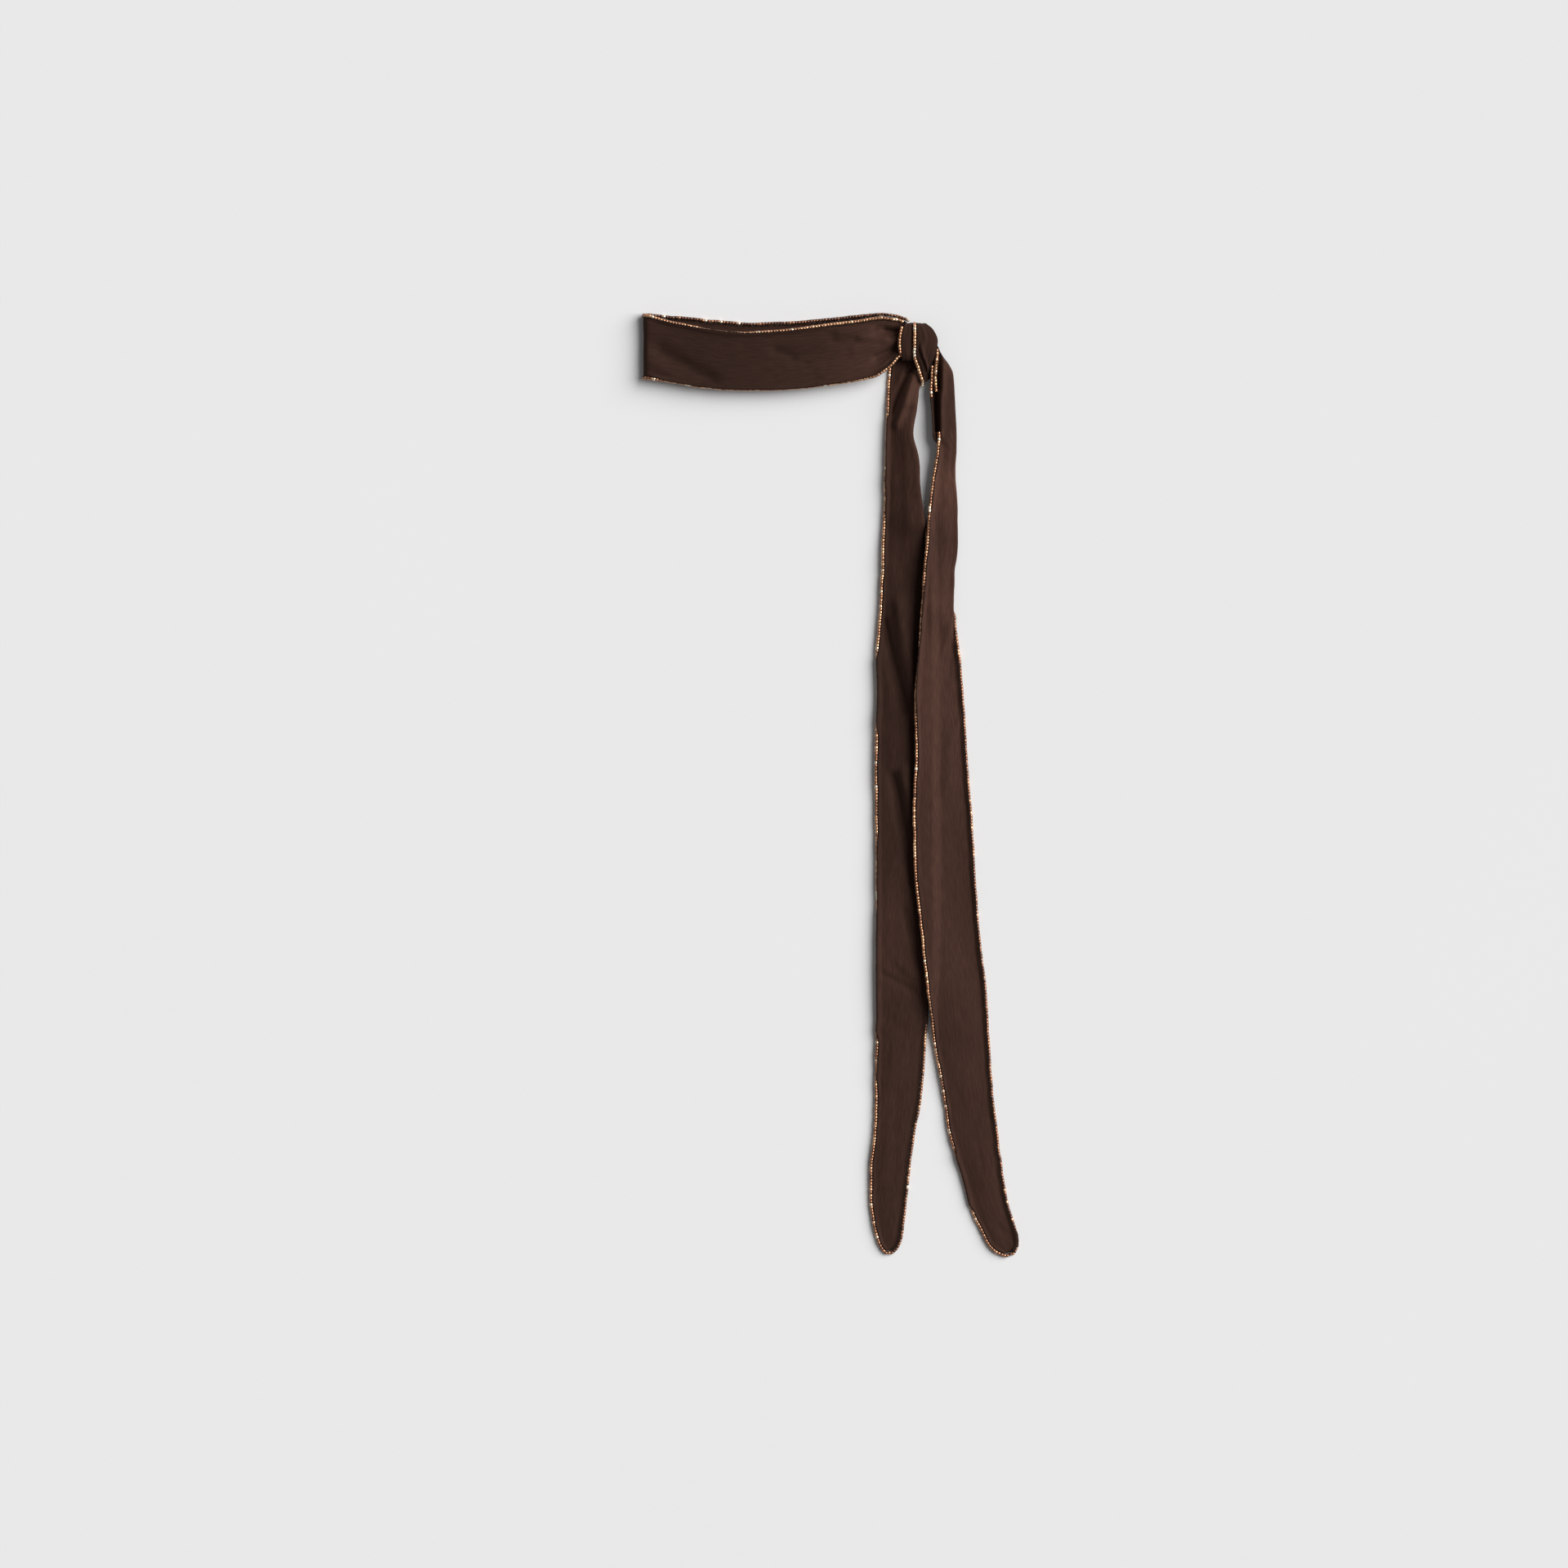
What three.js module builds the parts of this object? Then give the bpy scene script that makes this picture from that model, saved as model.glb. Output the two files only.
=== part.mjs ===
import * as THREE from "three";

// Beaded scarf: one long narrow strip of dark brown crinkled chiffon with a row of cylinder beads
// along its edge. It lies flat on a table as it came off the neck. The neck loop is pressed flat to
// the left, the knot is at its right end and two tapered tails run down from the knot.
// Millimetres. X runs to the right, Y away from the viewer and Z up from the table.

// Driving dimensions
const CLOTH_WALL = 1.2;
const BEAD_DIAMETER = 2.2;
const BEAD_ROW_SIDES = 8;
const TOUCH_GAP = 0.4;
const TUCK_RADIUS = 1.25;
const LOOP_CENTRE_X = -124.0;
const LOOP_UPPER_HEIGHT = 9.0;
const LOOP_LOWER_HEIGHT = CLOTH_WALL / 2;
const OVERLAP_HEIGHT = 3.4;
const OVERLAP_REACH = 7.5;
const OVERLAP_RAMP = 6.5;
const STRIP_ACROSS_STEPS = 12;
const WRAP_ACROSS_STEPS = 6;
const LONGEST_STEP = 34;
const FOLD_ARC_STATIONS = 7;

// Worked out from the driving dimensions
const HALF_WALL = CLOTH_WALL / 2;
const BEAD_RADIUS = BEAD_DIAMETER / 2;
const EDGE_TO_BEAD_LINE = BEAD_RADIUS + TOUCH_GAP;
const BEAD_ROW_WIDTH = BEAD_DIAMETER + TOUCH_GAP;
const BEAD_LINE_ABOVE_CLOTH = HALF_WALL + TOUCH_GAP + BEAD_RADIUS;

function table(columns, rows) {
  return rows.map((row) => Object.fromEntries(columns.map((column, index) => [column, row[index]])));
}

// Tails: one row for each section, from the knot down to the tip. The left and right points are the
// outline as seen from above. lift is the height over the table, crown the rise of the middle,
// pleat the depth of the two gathers and hollow the depth of the lengthwise hollow near the left
// edge. curl in degrees and flap say how far the right edge is turned under. beads is 1 where the
// bead row lies beside the edge.
const TAIL_COLUMNS = [
  "leftX", "leftY", "rightX", "rightY", "lift", "crown", "pleat", "hollow", "curl", "flap", "beads",
];

const LEFT_TAIL_ROWS = table(TAIL_COLUMNS, [
  [47.5, 302.5, 56.5, 302.5, 0.0, 0.0, 0.0, 0.0, 0, 2, 0],
  [42.5, 292.0, 58.5, 292.0, 0.0, 0.0, 0.0, 0.0, 0, 2, 0.5],
  [39.5, 286.0, 60.0, 285.5, 0.0, 0.2, 0.0, 0.0, 0, 2, 1],
  [38.9, 280.0, 60.7, 280.0, 0.0, 0.3, 0.0, 0.0, 25, 1.2, 1],
  [38.5, 275.0, 60.9, 275.0, 0.0, 0.3, 0.0, 0.0, 55, 1.2, 1],
  [38.3, 270.5, 60.6, 270.5, 0.0, 0.3, 0.0, 0.0, 90, 1.2, 1],
  [38.2, 266.0, 60.0, 266.0, 0.0, 0.4, 0.0, 0.0, 120, 1.2, 1],
  [38.1, 261.0, 59.3, 261.0, 0.0, 0.5, 0.0, 0.0, 155, 1.6, 1],
  [38.0, 256.0, 58.7, 256.0, 0.0, 0.6, 0.0, 0.0, 180, 2.4, 1],
  [37.5, 241.5, 56.5, 241.5, 0.0, 0.8, 0.0, 0.0, 180, 5, 1],
  [37.0, 223.5, 60.5, 223.5, 0.0, 0.8, 0.0, 0.0, 180, 5, 1],
  [36.5, 204.0, 61.5, 204.0, 0.0, 0.8, 0.0, 0.0, 180, 4, 1],
  [36.4, 198.0, 62.0, 198.0, 0.0, 0.8, 0.0, 0.0, 160, 2.2, 1],
  [36.2, 193.0, 62.5, 193.0, 0.0, 0.8, 0.0, 0.0, 120, 1.2, 1],
  [35.7, 183.0, 64.0, 183.0, 0.0, 0.8, 0.0, 0.0, 50, 1.2, 1],
  [35.0, 171.0, 65.5, 171.0, 0.0, 1.0, 0.0, 0.0, 0, 2, 1],
  [34.0, 139.0, 67.0, 139.0, 0.0, 1.2, 0.0, 0.0, 0, 2, 1],
  [32.0, 106.5, 67.5, 106.5, 0.0, 1.2, 0.0, 0.0, 0, 2, 1],
  [31.0, 88.0, 68.0, 88.0, 0.0, 1.2, 0.0, 0.0, 0, 2, 1],
  [31.5, 57.0, 68.0, 57.0, 0.0, 1.2, 0.0, 0.0, 0, 2, 1],
  [30.0, 22.5, 68.0, 22.5, 0.0, 1.2, 0.0, 0.0, 0, 2, 1],
  [30.5, -34.0, 68.5, -34.0, 0.0, 1.2, 0.0, 0.0, 0, 2, 1],
  [31.0, -98.5, 68.5, -98.5, 0.0, 1.2, 0.0, 0.0, 0, 2, 1],
  [31.0, -150.0, 67.5, -150.0, 0.0, 1.2, 0.0, 0.0, 0, 2, 1],
  [30.5, -187.0, 65.0, -187.0, 0.0, 1.3, 0.0, 0.0, 0, 2, 1],
  [30.0, -212.5, 62.5, -212.5, 0.0, 1.3, 0.0, 0.0, 0, 2, 1],
  [29.5, -236.0, 58.0, -238.5, 0.0, 1.2, 0.0, 0.0, 0, 2, 1],
  [26.5, -262.0, 54.5, -265.0, 0.0, 1.2, 0.0, 0.0, 0, 2, 1],
  [26.5, -283.5, 52.5, -284.5, 0.0, 1.0, 0.0, 0.0, 0, 2, 1],
  [28.5, -299.5, 50.5, -300.0, 0.0, 0.8, 0.0, 0.0, 0, 2, 1],
  [31.0, -310.5, 49.2, -310.5, 0.0, 0.5, 0.0, 0.0, 0, 2, 1],
  [33.2, -315.8, 47.0, -315.8, 0.0, 0.3, 0.0, 0.0, 0, 2, 1],
  [36.0, -318.7, 43.6, -318.7, 0.0, 0.1, 0.0, 0.0, 0, 1, 1],
]);

const RIGHT_TAIL_ROWS = table(TAIL_COLUMNS, [
  [52.3, 294.7, 52.3, 312.0, 7.4, 0.0, 0.8, 0.0, 0, 1, 0],
  [57.0, 294.0, 57.5, 312.0, 7.4, 0.0, 0.9, 0.0, 0, 1, 0],
  [62.0, 293.0, 65.5, 310.0, 7.4, 0.0, 1.3, 0.0, 0, 1, 0],
  [65.5, 291.0, 71.5, 303.0, 7.2, 0.0, 1.0, 0.3, 0, 1, 0],
  [67.6, 288.3, 76.5, 293.5, 6.8, 0.3, 0.6, 0.6, 40, 1, 0],
  [68.4, 285.5, 81.0, 287.5, 5.4, 0.5, 0.2, 0.9, 90, 1, 0.9],
  [68.2, 281.0, 83.5, 282.5, 4.0, 0.5, 0.0, 1.0, 140, 1.2, 1],
  [68.0, 274.0, 84.5, 274.0, 2.8, 0.5, 0.0, 1.2, 180, 2, 1],
  [68.0, 266.5, 85.0, 264.0, 1.9, 0.5, 0.0, 1.4, 180, 3, 1],
  [68.5, 253.0, 85.5, 251.5, 1.3, 0.5, 0.0, 1.5, 180, 3, 1],
  [70.0, 240.0, 86.0, 238.5, 0.9, 0.5, 0.0, 1.1, 180, 3, 1],
  [72.0, 230.5, 86.0, 229.5, 0.5, 0.5, 0.0, 0.4, 180, 2.5, 1],
  [69.5, 212.0, 85.5, 212.0, 0.0, 0.7, 0.0, 0.0, 180, 4, 1],
  [66.0, 185.5, 87.0, 185.5, 0.0, 1.0, 0.0, 0.0, 180, 7, 1],
  [64.5, 166.0, 87.0, 167.0, 0.0, 1.0, 0.0, 0.0, 180, 7, 1],
  [63.0, 146.5, 85.0, 146.5, 0.0, 1.0, 0.0, 0.0, 180, 6, 1],
  [62.0, 130.0, 84.2, 130.0, 0.0, 1.0, 0.0, 0.0, 180, 4, 1],
  [61.6, 125.0, 84.2, 125.0, 0.0, 1.0, 0.0, 0.0, 160, 2.2, 1],
  [61.3, 120.0, 84.4, 120.0, 0.0, 1.0, 0.0, 0.0, 120, 1.2, 1],
  [60.8, 110.0, 85.8, 110.0, 0.0, 1.0, 0.0, 0.0, 50, 1.2, 1],
  [60.0, 93.0, 88.5, 93.0, 0.0, 1.0, 0.0, 0.0, 0, 2, 1],
  [57.0, 57.0, 91.5, 57.0, 0.0, 0.9, 0.0, 0.0, 0, 2, 1],
  [57.5, 24.0, 93.5, 22.5, 0.0, 0.8, 0.0, 0.0, 0, 2, 1],
  [56.0, -13.0, 96.5, -13.0, 0.0, 0.8, 0.0, 0.0, 0, 2, 1],
  [56.5, -55.0, 99.0, -55.0, 0.0, 0.8, 0.0, 0.0, 0, 2, 1],
  [61.0, -98.5, 102.0, -98.5, 0.0, 0.9, 0.0, 0.0, 0, 2, 1],
  [65.5, -142.0, 107.0, -142.0, 0.0, 1.0, 0.0, 0.0, 0, 2, 1],
  [70.0, -175.5, 109.0, -175.5, 0.0, 1.2, 0.0, 0.0, 0, 2, 1],
  [76.0, -209.0, 111.5, -209.0, 0.0, 1.3, 0.0, 0.0, 0, 2, 1],
  [80.5, -238.5, 114.5, -237.0, 0.0, 1.3, 0.0, 0.0, 0, 2, 1],
  [87.5, -261.0, 117.3, -258.5, 0.0, 1.2, 0.0, 0.0, 0, 2, 1],
  [92.5, -279.5, 119.8, -275.5, 0.0, 1.1, 0.0, 0.0, 0, 2, 1],
  [97.0, -294.5, 123.0, -290.5, 0.0, 0.9, 0.0, 0.0, 0, 2, 1],
  [102.5, -306.0, 126.4, -301.5, 0.0, 0.7, 0.0, 0.0, 0, 2, 1],
  [106.5, -314.2, 128.5, -309.5, 0.0, 0.5, 0.0, 0.0, 0, 2, 1],
  [110.8, -318.8, 128.6, -314.5, 0.0, 0.3, 0.0, 0.0, 0, 2, 1],
  [117.0, -321.3, 126.4, -318.7, 0.0, 0.1, 0.0, 0.0, 0, 1, 1],
]);

// Neck loop: one row for each section. topY and bottomY are the outline as seen from above, height
// is that of the middle of the cloth and pleat the depth of the two gathers beside the knot.
const NECK_COLUMNS = ["x", "topY", "bottomY", "height", "pleat", "beads"];

const NECK_UPPER_ROWS = table(NECK_COLUMNS, [
  [51.9, 312.0, 294.7, 8.0, 0.8, 0],
  [48.8, 313.0, 293.7, 8.0, 0.9, 0],
  [45.8, 318.0, 292.3, 8.0, 1.0, 0.9],
  [41.0, 320.3, 286.8, 8.1, 1.3, 1],
  [35.0, 321.0, 282.0, 8.3, 1.1, 1],
  [28.5, 320.5, 278.5, 8.5, 0.7, 1],
  [18.5, 318.5, 276.5, 8.8, 0.3, 1],
  [1.5, 316.5, 274.0, 9.0, 0.1, 1],
  [-18.0, 314.0, 271.5, 9.0, 0.0, 1],
  [-40.5, 311.5, 270.0, 9.0, 0.0, 1],
  [-63.0, 310.5, 270.0, 9.0, 0.0, 1],
  [-85.5, 313.0, 271.5, 9.0, 0.0, 1],
  [-105.0, 317.0, 274.5, 9.0, 0.0, 1],
  [LOOP_CENTRE_X, 322.3, 277.5, LOOP_UPPER_HEIGHT, 0.0, 1],
]);

const NECK_LOWER_ROWS = table(NECK_COLUMNS, [
  [LOOP_CENTRE_X, 323.6, 278.0, LOOP_LOWER_HEIGHT, 0.0, 1],
  [-99.5, 321.0, 275.0, 0.6, 0.0, 1],
  [-77.0, 319.0, 273.0, 0.6, 0.0, 1],
  [-54.0, 317.0, 272.5, 0.6, 0.0, 1],
  [-30.0, 318.0, 273.0, 0.6, 0.0, 1],
  [-3.0, 320.0, 275.0, 0.6, 0.0, 1],
  [15.0, 322.0, 278.5, 0.8, 0.0, 1],
  [25.0, 323.2, 281.5, 1.6, 0.0, 1],
  [34.0, 323.8, 285.0, 3.2, 0.0, 1],
  [41.0, 323.2, 288.5, 4.2, 0.0, 1],
  [45.5, 319.5, 292.0, 4.2, 0.0, 0.8],
  [48.5, 314.5, 293.5, 4.2, 0.0, 0],
  [51.7, 312.0, 295.0, 4.2, 0.0, 0],
]);

// Knot wrap: one row for each section of the strand that winds twice round the other one. It starts
// inside the inner turn, comes round the foot of the outer turn, goes up its face, over its top and
// down behind to the foot of the inner turn, then up its face and over its top.
const WRAP_COLUMNS = ["leftX", "leftY", "leftZ", "rightX", "rightY", "rightZ", "bulge"];

const WRAP_ROWS = table(WRAP_COLUMNS, [
  [52.1, 295.0, 4.2, 52.1, 312.0, 4.2, 0],
  [56.0, 293.8, 4.2, 57.0, 312.0, 4.2, 0],
  [58.5, 291.5, 4.2, 63.8, 308.8, 4.2, 0],
  [59.8, 288.2, 4.2, 67.6, 300.0, 4.2, 0],
  [61.2, 284.3, 4.2, 68.2, 289.3, 4.2, 0],
  [62.3, 280.3, 4.4, 67.4, 282.0, 4.4, 0],
  [62.9, 277.2, 5.3, 67.0, 277.7, 5.3, 0],
  [63.1, 276.1, 7.1, 66.9, 276.4, 7.1, 0],
  [63.0, 277.1, 8.9, 67.1, 277.5, 8.9, 0],
  [61.9, 281.6, 10.0, 68.2, 283.1, 10.0, 0.2],
  [60.5, 286.6, 10.9, 69.3, 287.6, 10.9, 0.4],
  [58.9, 293.0, 12.4, 71.3, 293.7, 12.2, 0.6],
  [58.6, 298.8, 13.0, 72.4, 299.3, 12.7, 0.8],
  [58.8, 305.8, 13.0, 72.7, 305.5, 12.7, 0.8],
  [58.8, 312.0, 12.4, 69.8, 311.6, 12.0, 0.6],
  [58.8, 315.2, 10.7, 66.5, 314.7, 10.3, 0.2],
  [58.5, 316.4, 7.7, 64.3, 316.2, 7.4, 0],
  [57.6, 315.4, 4.8, 63.2, 315.2, 4.6, 0],
  [56.6, 312.4, 2.9, 63.2, 312.2, 2.9, 0],
  [54.0, 306.6, 2.4, 61.5, 305.6, 2.4, 0],
  [51.0, 299.4, 2.4, 58.4, 298.3, 2.4, 0],
  [49.4, 294.3, 2.5, 56.0, 293.8, 2.5, 0],
  [49.0, 291.8, 4.2, 55.7, 291.5, 4.2, 0],
  [48.9, 291.1, 6.8, 55.6, 290.8, 6.8, 0],
  [49.0, 292.0, 9.6, 55.6, 291.7, 9.6, 0.2],
  [49.0, 295.4, 11.3, 55.5, 295.1, 11.4, 0.3],
  [48.4, 301.0, 11.7, 55.5, 300.7, 11.8, 0.4],
  [48.9, 308.3, 11.9, 55.5, 308.0, 11.9, 0.3],
  [50.2, 312.3, 11.3, 55.4, 312.2, 11.2, 0.2],
  [50.9, 314.2, 8.9, 55.2, 314.2, 8.8, 0],
  [50.9, 314.6, 5.8, 55.0, 314.6, 5.8, 0],
  [50.6, 313.8, 3.0, 54.8, 313.8, 3.0, 0],
  [49.4, 310.8, 1.1, 54.7, 310.8, 1.1, 0],
  [47.8, 306.5, 0.7, 55.2, 306.5, 0.7, 0],
]);
const OUTER_TURN_ROWS = { first: 8, last: 15 };
const INNER_TURN_ROWS = { first: 25, last: 28 };

// The turned-over edge of the right tail shows a second bead row beside the knot. It lies on the
// cloth, at a section number and a step number across it.
const FOLDED_EDGE_ROWS = table(["section", "across"], [
  [3.0, 9.6],
  [3.5, 8.0],
  [4.0, 6.3],
  [4.5, 4.8],
  [5.0, 3.8],
  [5.5, 3.3],
  [6.0, 3.0],
  [6.5, 2.8],
  [7.0, 2.7],
]);

// Furrows and ridges: one row for each, from one end to the other. A negative depth is a ridge.
const FURROW_COLUMNS = ["startX", "startY", "endX", "endY", "depth", "width"];

const NECK_FURROWS = table(FURROW_COLUMNS, [
  [-117, 297, -81, 277, 0.8, 4.5],
  [-37, 297, -26, 293, 0.5, 4.0],
  [2, 303, 30, 300, 0.4, 3.0],
]);

const LEFT_TAIL_FURROWS = table(FURROW_COLUMNS, [
  [52, 286, 43, 259, -0.8, 3.5],
  [40, 150, 58, 110, -0.8, 5.0],
  [44, 1, 57, -66, 0.6, 4.0],
  [52, -89, 60, -122, 0.6, 4.0],
  [44, -125, 55, -139, 0.6, 4.0],
]);

const RIGHT_TAIL_FURROWS = table(FURROW_COLUMNS, [
  [82, 110, 76, 74, -0.8, 3.0],
  [83, 24, 80, 0, -0.5, 5.0],
  [86, -40, 92, -130, 0.4, 5.0],
]);

// A column's value at a fractional row number. It passes through each row and never overshoots.
function columnValue(rows, column, place) {
  const low = Math.min(Math.floor(place), rows.length - 2);
  const t = place - low;
  const start = rows[low][column];
  const end = rows[low + 1][column];
  const startSlope = columnSlope(rows, column, low);
  const endSlope = columnSlope(rows, column, low + 1);
  const squared = t * t;
  const cubed = squared * t;
  const fromStart = (2 * cubed - 3 * squared + 1) * start + (cubed - 2 * squared + t) * startSlope;
  const fromEnd = (3 * squared - 2 * cubed) * end + (cubed - squared) * endSlope;
  return fromStart + fromEnd;
}

function columnSlope(rows, column, index) {
  if (index === 0) {
    return rows[1][column] - rows[0][column];
  }
  if (index === rows.length - 1) {
    return rows[index][column] - rows[index - 1][column];
  }
  const before = rows[index][column] - rows[index - 1][column];
  const after = rows[index + 1][column] - rows[index][column];
  return before * after <= 0 ? 0 : (2 * before * after) / (before + after);
}

function rowAt(rows, place) {
  const columns = Object.keys(rows[0]);
  return Object.fromEntries(columns.map((column) => [column, columnValue(rows, column, place)]));
}

// The sections of a strip: each row, with more between rows that lie further apart than one step
function sectionRows(rows, middleOf) {
  const sections = [];
  for (let index = 0; index < rows.length - 1; index += 1) {
    const distance = middleOf(rows[index]).distanceTo(middleOf(rows[index + 1]));
    const steps = Math.max(1, Math.ceil(distance / LONGEST_STEP));
    for (let step = 0; step < steps; step += 1) {
      sections.push(rowAt(rows, index + step / steps));
    }
  }
  sections.push(rows[rows.length - 1]);
  return sections;
}

function smoothStep(value) {
  const t = Math.min(1, Math.max(0, value));
  return t * t * (3 - 2 * t);
}

function furrowDepth(furrows, x, y) {
  let depth = 0;
  for (const furrow of furrows) {
    const along = new THREE.Vector2(furrow.endX - furrow.startX, furrow.endY - furrow.startY);
    const from = new THREE.Vector2(x - furrow.startX, y - furrow.startY);
    const share = Math.min(1, Math.max(0, from.dot(along) / along.lengthSq()));
    const distance = from.addScaledVector(along, -share).length();
    depth += furrow.depth * Math.exp(-((distance / furrow.width) ** 2));
  }
  return depth;
}

// The right outline of the left tail at one place along it, for what lies over it
function leftTailEdgeX(y) {
  const rows = LEFT_TAIL_ROWS;
  const below = rows.findIndex((row) => row.rightY <= y);
  if (below <= 0) {
    return below === 0 ? rows[0].rightX : rows[rows.length - 1].rightX;
  }
  const high = rows[below - 1];
  const low = rows[below];
  const share = (high.rightY - y) / (high.rightY - low.rightY);
  return high.rightX + share * (low.rightX - high.rightX);
}

function climbOverLeftTail(x, y) {
  return OVERLAP_HEIGHT * smoothStep((leftTailEdgeX(y) + OVERLAP_REACH - x) / OVERLAP_RAMP);
}

// One section across a tail, from its left edge over the top and round the turned-under right edge
function tailSection(row, furrows, climb) {
  const left = new THREE.Vector2(row.leftX, row.leftY);
  const right = new THREE.Vector2(row.rightX, row.rightY);
  const width = left.distanceTo(right);
  const direction = right.clone().sub(left).divideScalar(width);
  const inset = row.beads * BEAD_ROW_WIDTH;
  const curl = THREE.MathUtils.degToRad(row.curl);
  const outward = Math.max(0, Math.cos(curl));
  const bend = TUCK_RADIUS * Math.sin(Math.min(curl, Math.PI / 2));
  const straight = width - inset - bend - (row.flap + inset) * outward;
  const arc = TUCK_RADIUS * curl;
  const length = straight + arc + row.flap;
  const tuckLift = TUCK_RADIUS * (1 - Math.cos(curl)) + (row.flap + inset) * Math.sin(curl);
  const points = [];
  for (let step = 0; step <= STRIP_ACROSS_STEPS; step += 1) {
    const travelled = (length * step) / STRIP_ACROSS_STEPS;
    const turn = Math.min(curl, Math.max(0, (travelled - straight) / TUCK_RADIUS));
    const beyond = Math.max(0, travelled - straight - arc);
    const across = Math.min(travelled, straight) + TUCK_RADIUS * Math.sin(turn) + beyond * Math.cos(curl);
    const drop = TUCK_RADIUS * (1 - Math.cos(turn)) + beyond * Math.sin(curl);
    const place = left.clone().addScaledVector(direction, inset + across);
    const share = across / (width - 2 * inset);
    const rise = row.crown * Math.sin(Math.PI * THREE.MathUtils.clamp(share, 0, 1));
    const gather = row.pleat * Math.cos(4 * Math.PI * share);
    const hollow = row.hollow * Math.exp(-(((share - 0.27) / 0.13) ** 2));
    const dent = furrowDepth(furrows, place.x, place.y);
    const base = Math.max(row.lift, climb(place.x, place.y));
    const tuck = tuckLift * smoothStep(across / (0.6 * width));
    const height = base + tuck + rise + gather - Math.min(hollow + dent, base + tuck + rise) - drop;
    points.push(new THREE.Vector3(place.x, place.y, HALF_WALL + height));
  }
  return points;
}

function tailGrid(rows, furrows, climb) {
  const middleOf = (row) => new THREE.Vector2(row.leftX + row.rightX, row.leftY + row.rightY).divideScalar(2);
  return sectionRows(rows, middleOf).map((row) => tailSection(row, furrows, climb));
}

// One section across the neck loop, from its bottom edge to its top edge
function neckSection(row, furrows) {
  const inset = row.beads * BEAD_ROW_WIDTH;
  const bottomY = row.bottomY + inset;
  const topY = row.topY - inset;
  const points = [];
  for (let step = 0; step <= STRIP_ACROSS_STEPS; step += 1) {
    const share = step / STRIP_ACROSS_STEPS;
    const y = bottomY + share * (topY - bottomY);
    const gather = row.pleat * Math.cos(4 * Math.PI * share);
    const height = row.height + gather - furrowDepth(furrows, row.x, y);
    points.push(new THREE.Vector3(row.x, y, height));
  }
  return points;
}

// The fold at the far end of the loop: half a circle from the upper layer down to the lower one
function foldRows() {
  const upper = NECK_UPPER_ROWS[NECK_UPPER_ROWS.length - 1];
  const lower = NECK_LOWER_ROWS[0];
  const radius = (LOOP_UPPER_HEIGHT - LOOP_LOWER_HEIGHT) / 2;
  const centreZ = (LOOP_UPPER_HEIGHT + LOOP_LOWER_HEIGHT) / 2;
  const rows = [];
  for (let station = 1; station <= FOLD_ARC_STATIONS; station += 1) {
    const share = station / (FOLD_ARC_STATIONS + 1);
    const angle = Math.PI * share;
    rows.push({
      x: LOOP_CENTRE_X - radius * Math.sin(angle),
      topY: THREE.MathUtils.lerp(upper.topY, lower.topY, share),
      bottomY: THREE.MathUtils.lerp(upper.bottomY, lower.bottomY, share),
      height: centreZ + radius * Math.cos(angle),
      pleat: 0,
      beads: 1,
    });
  }
  return rows;
}

function neckGrid() {
  const middleOf = (row) => new THREE.Vector2(row.x, (row.topY + row.bottomY) / 2);
  const upper = sectionRows(NECK_UPPER_ROWS, middleOf).map((row) => neckSection(row, NECK_FURROWS));
  const fold = foldRows().map((row) => neckSection(row, []));
  const lower = sectionRows(NECK_LOWER_ROWS, middleOf).map((row) => neckSection(row, []));
  return [...upper, ...fold, ...lower];
}

// The knot wrap bulges away from the middle of the knot between its two edges.
function wrapGrid() {
  return WRAP_ROWS.map((row) => {
    const left = new THREE.Vector3(row.leftX, row.leftY, row.leftZ);
    const right = new THREE.Vector3(row.rightX, row.rightY, row.rightZ);
    const points = [];
    for (let step = 0; step <= WRAP_ACROSS_STEPS; step += 1) {
      const share = step / WRAP_ACROSS_STEPS;
      const point = left.clone().lerp(right, share);
      point.z += row.bulge * Math.sin(Math.PI * share);
      points.push(point);
    }
    return points;
  });
}

function gridNormal(grid, station, step) {
  const before = grid[Math.max(0, station - 1)][step];
  const after = grid[Math.min(grid.length - 1, station + 1)][step];
  const near = grid[station][Math.max(0, step - 1)];
  const far = grid[station][Math.min(grid[station].length - 1, step + 1)];
  const along = after.clone().sub(before);
  const across = far.clone().sub(near);
  return along.cross(across).normalize();
}

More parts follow.
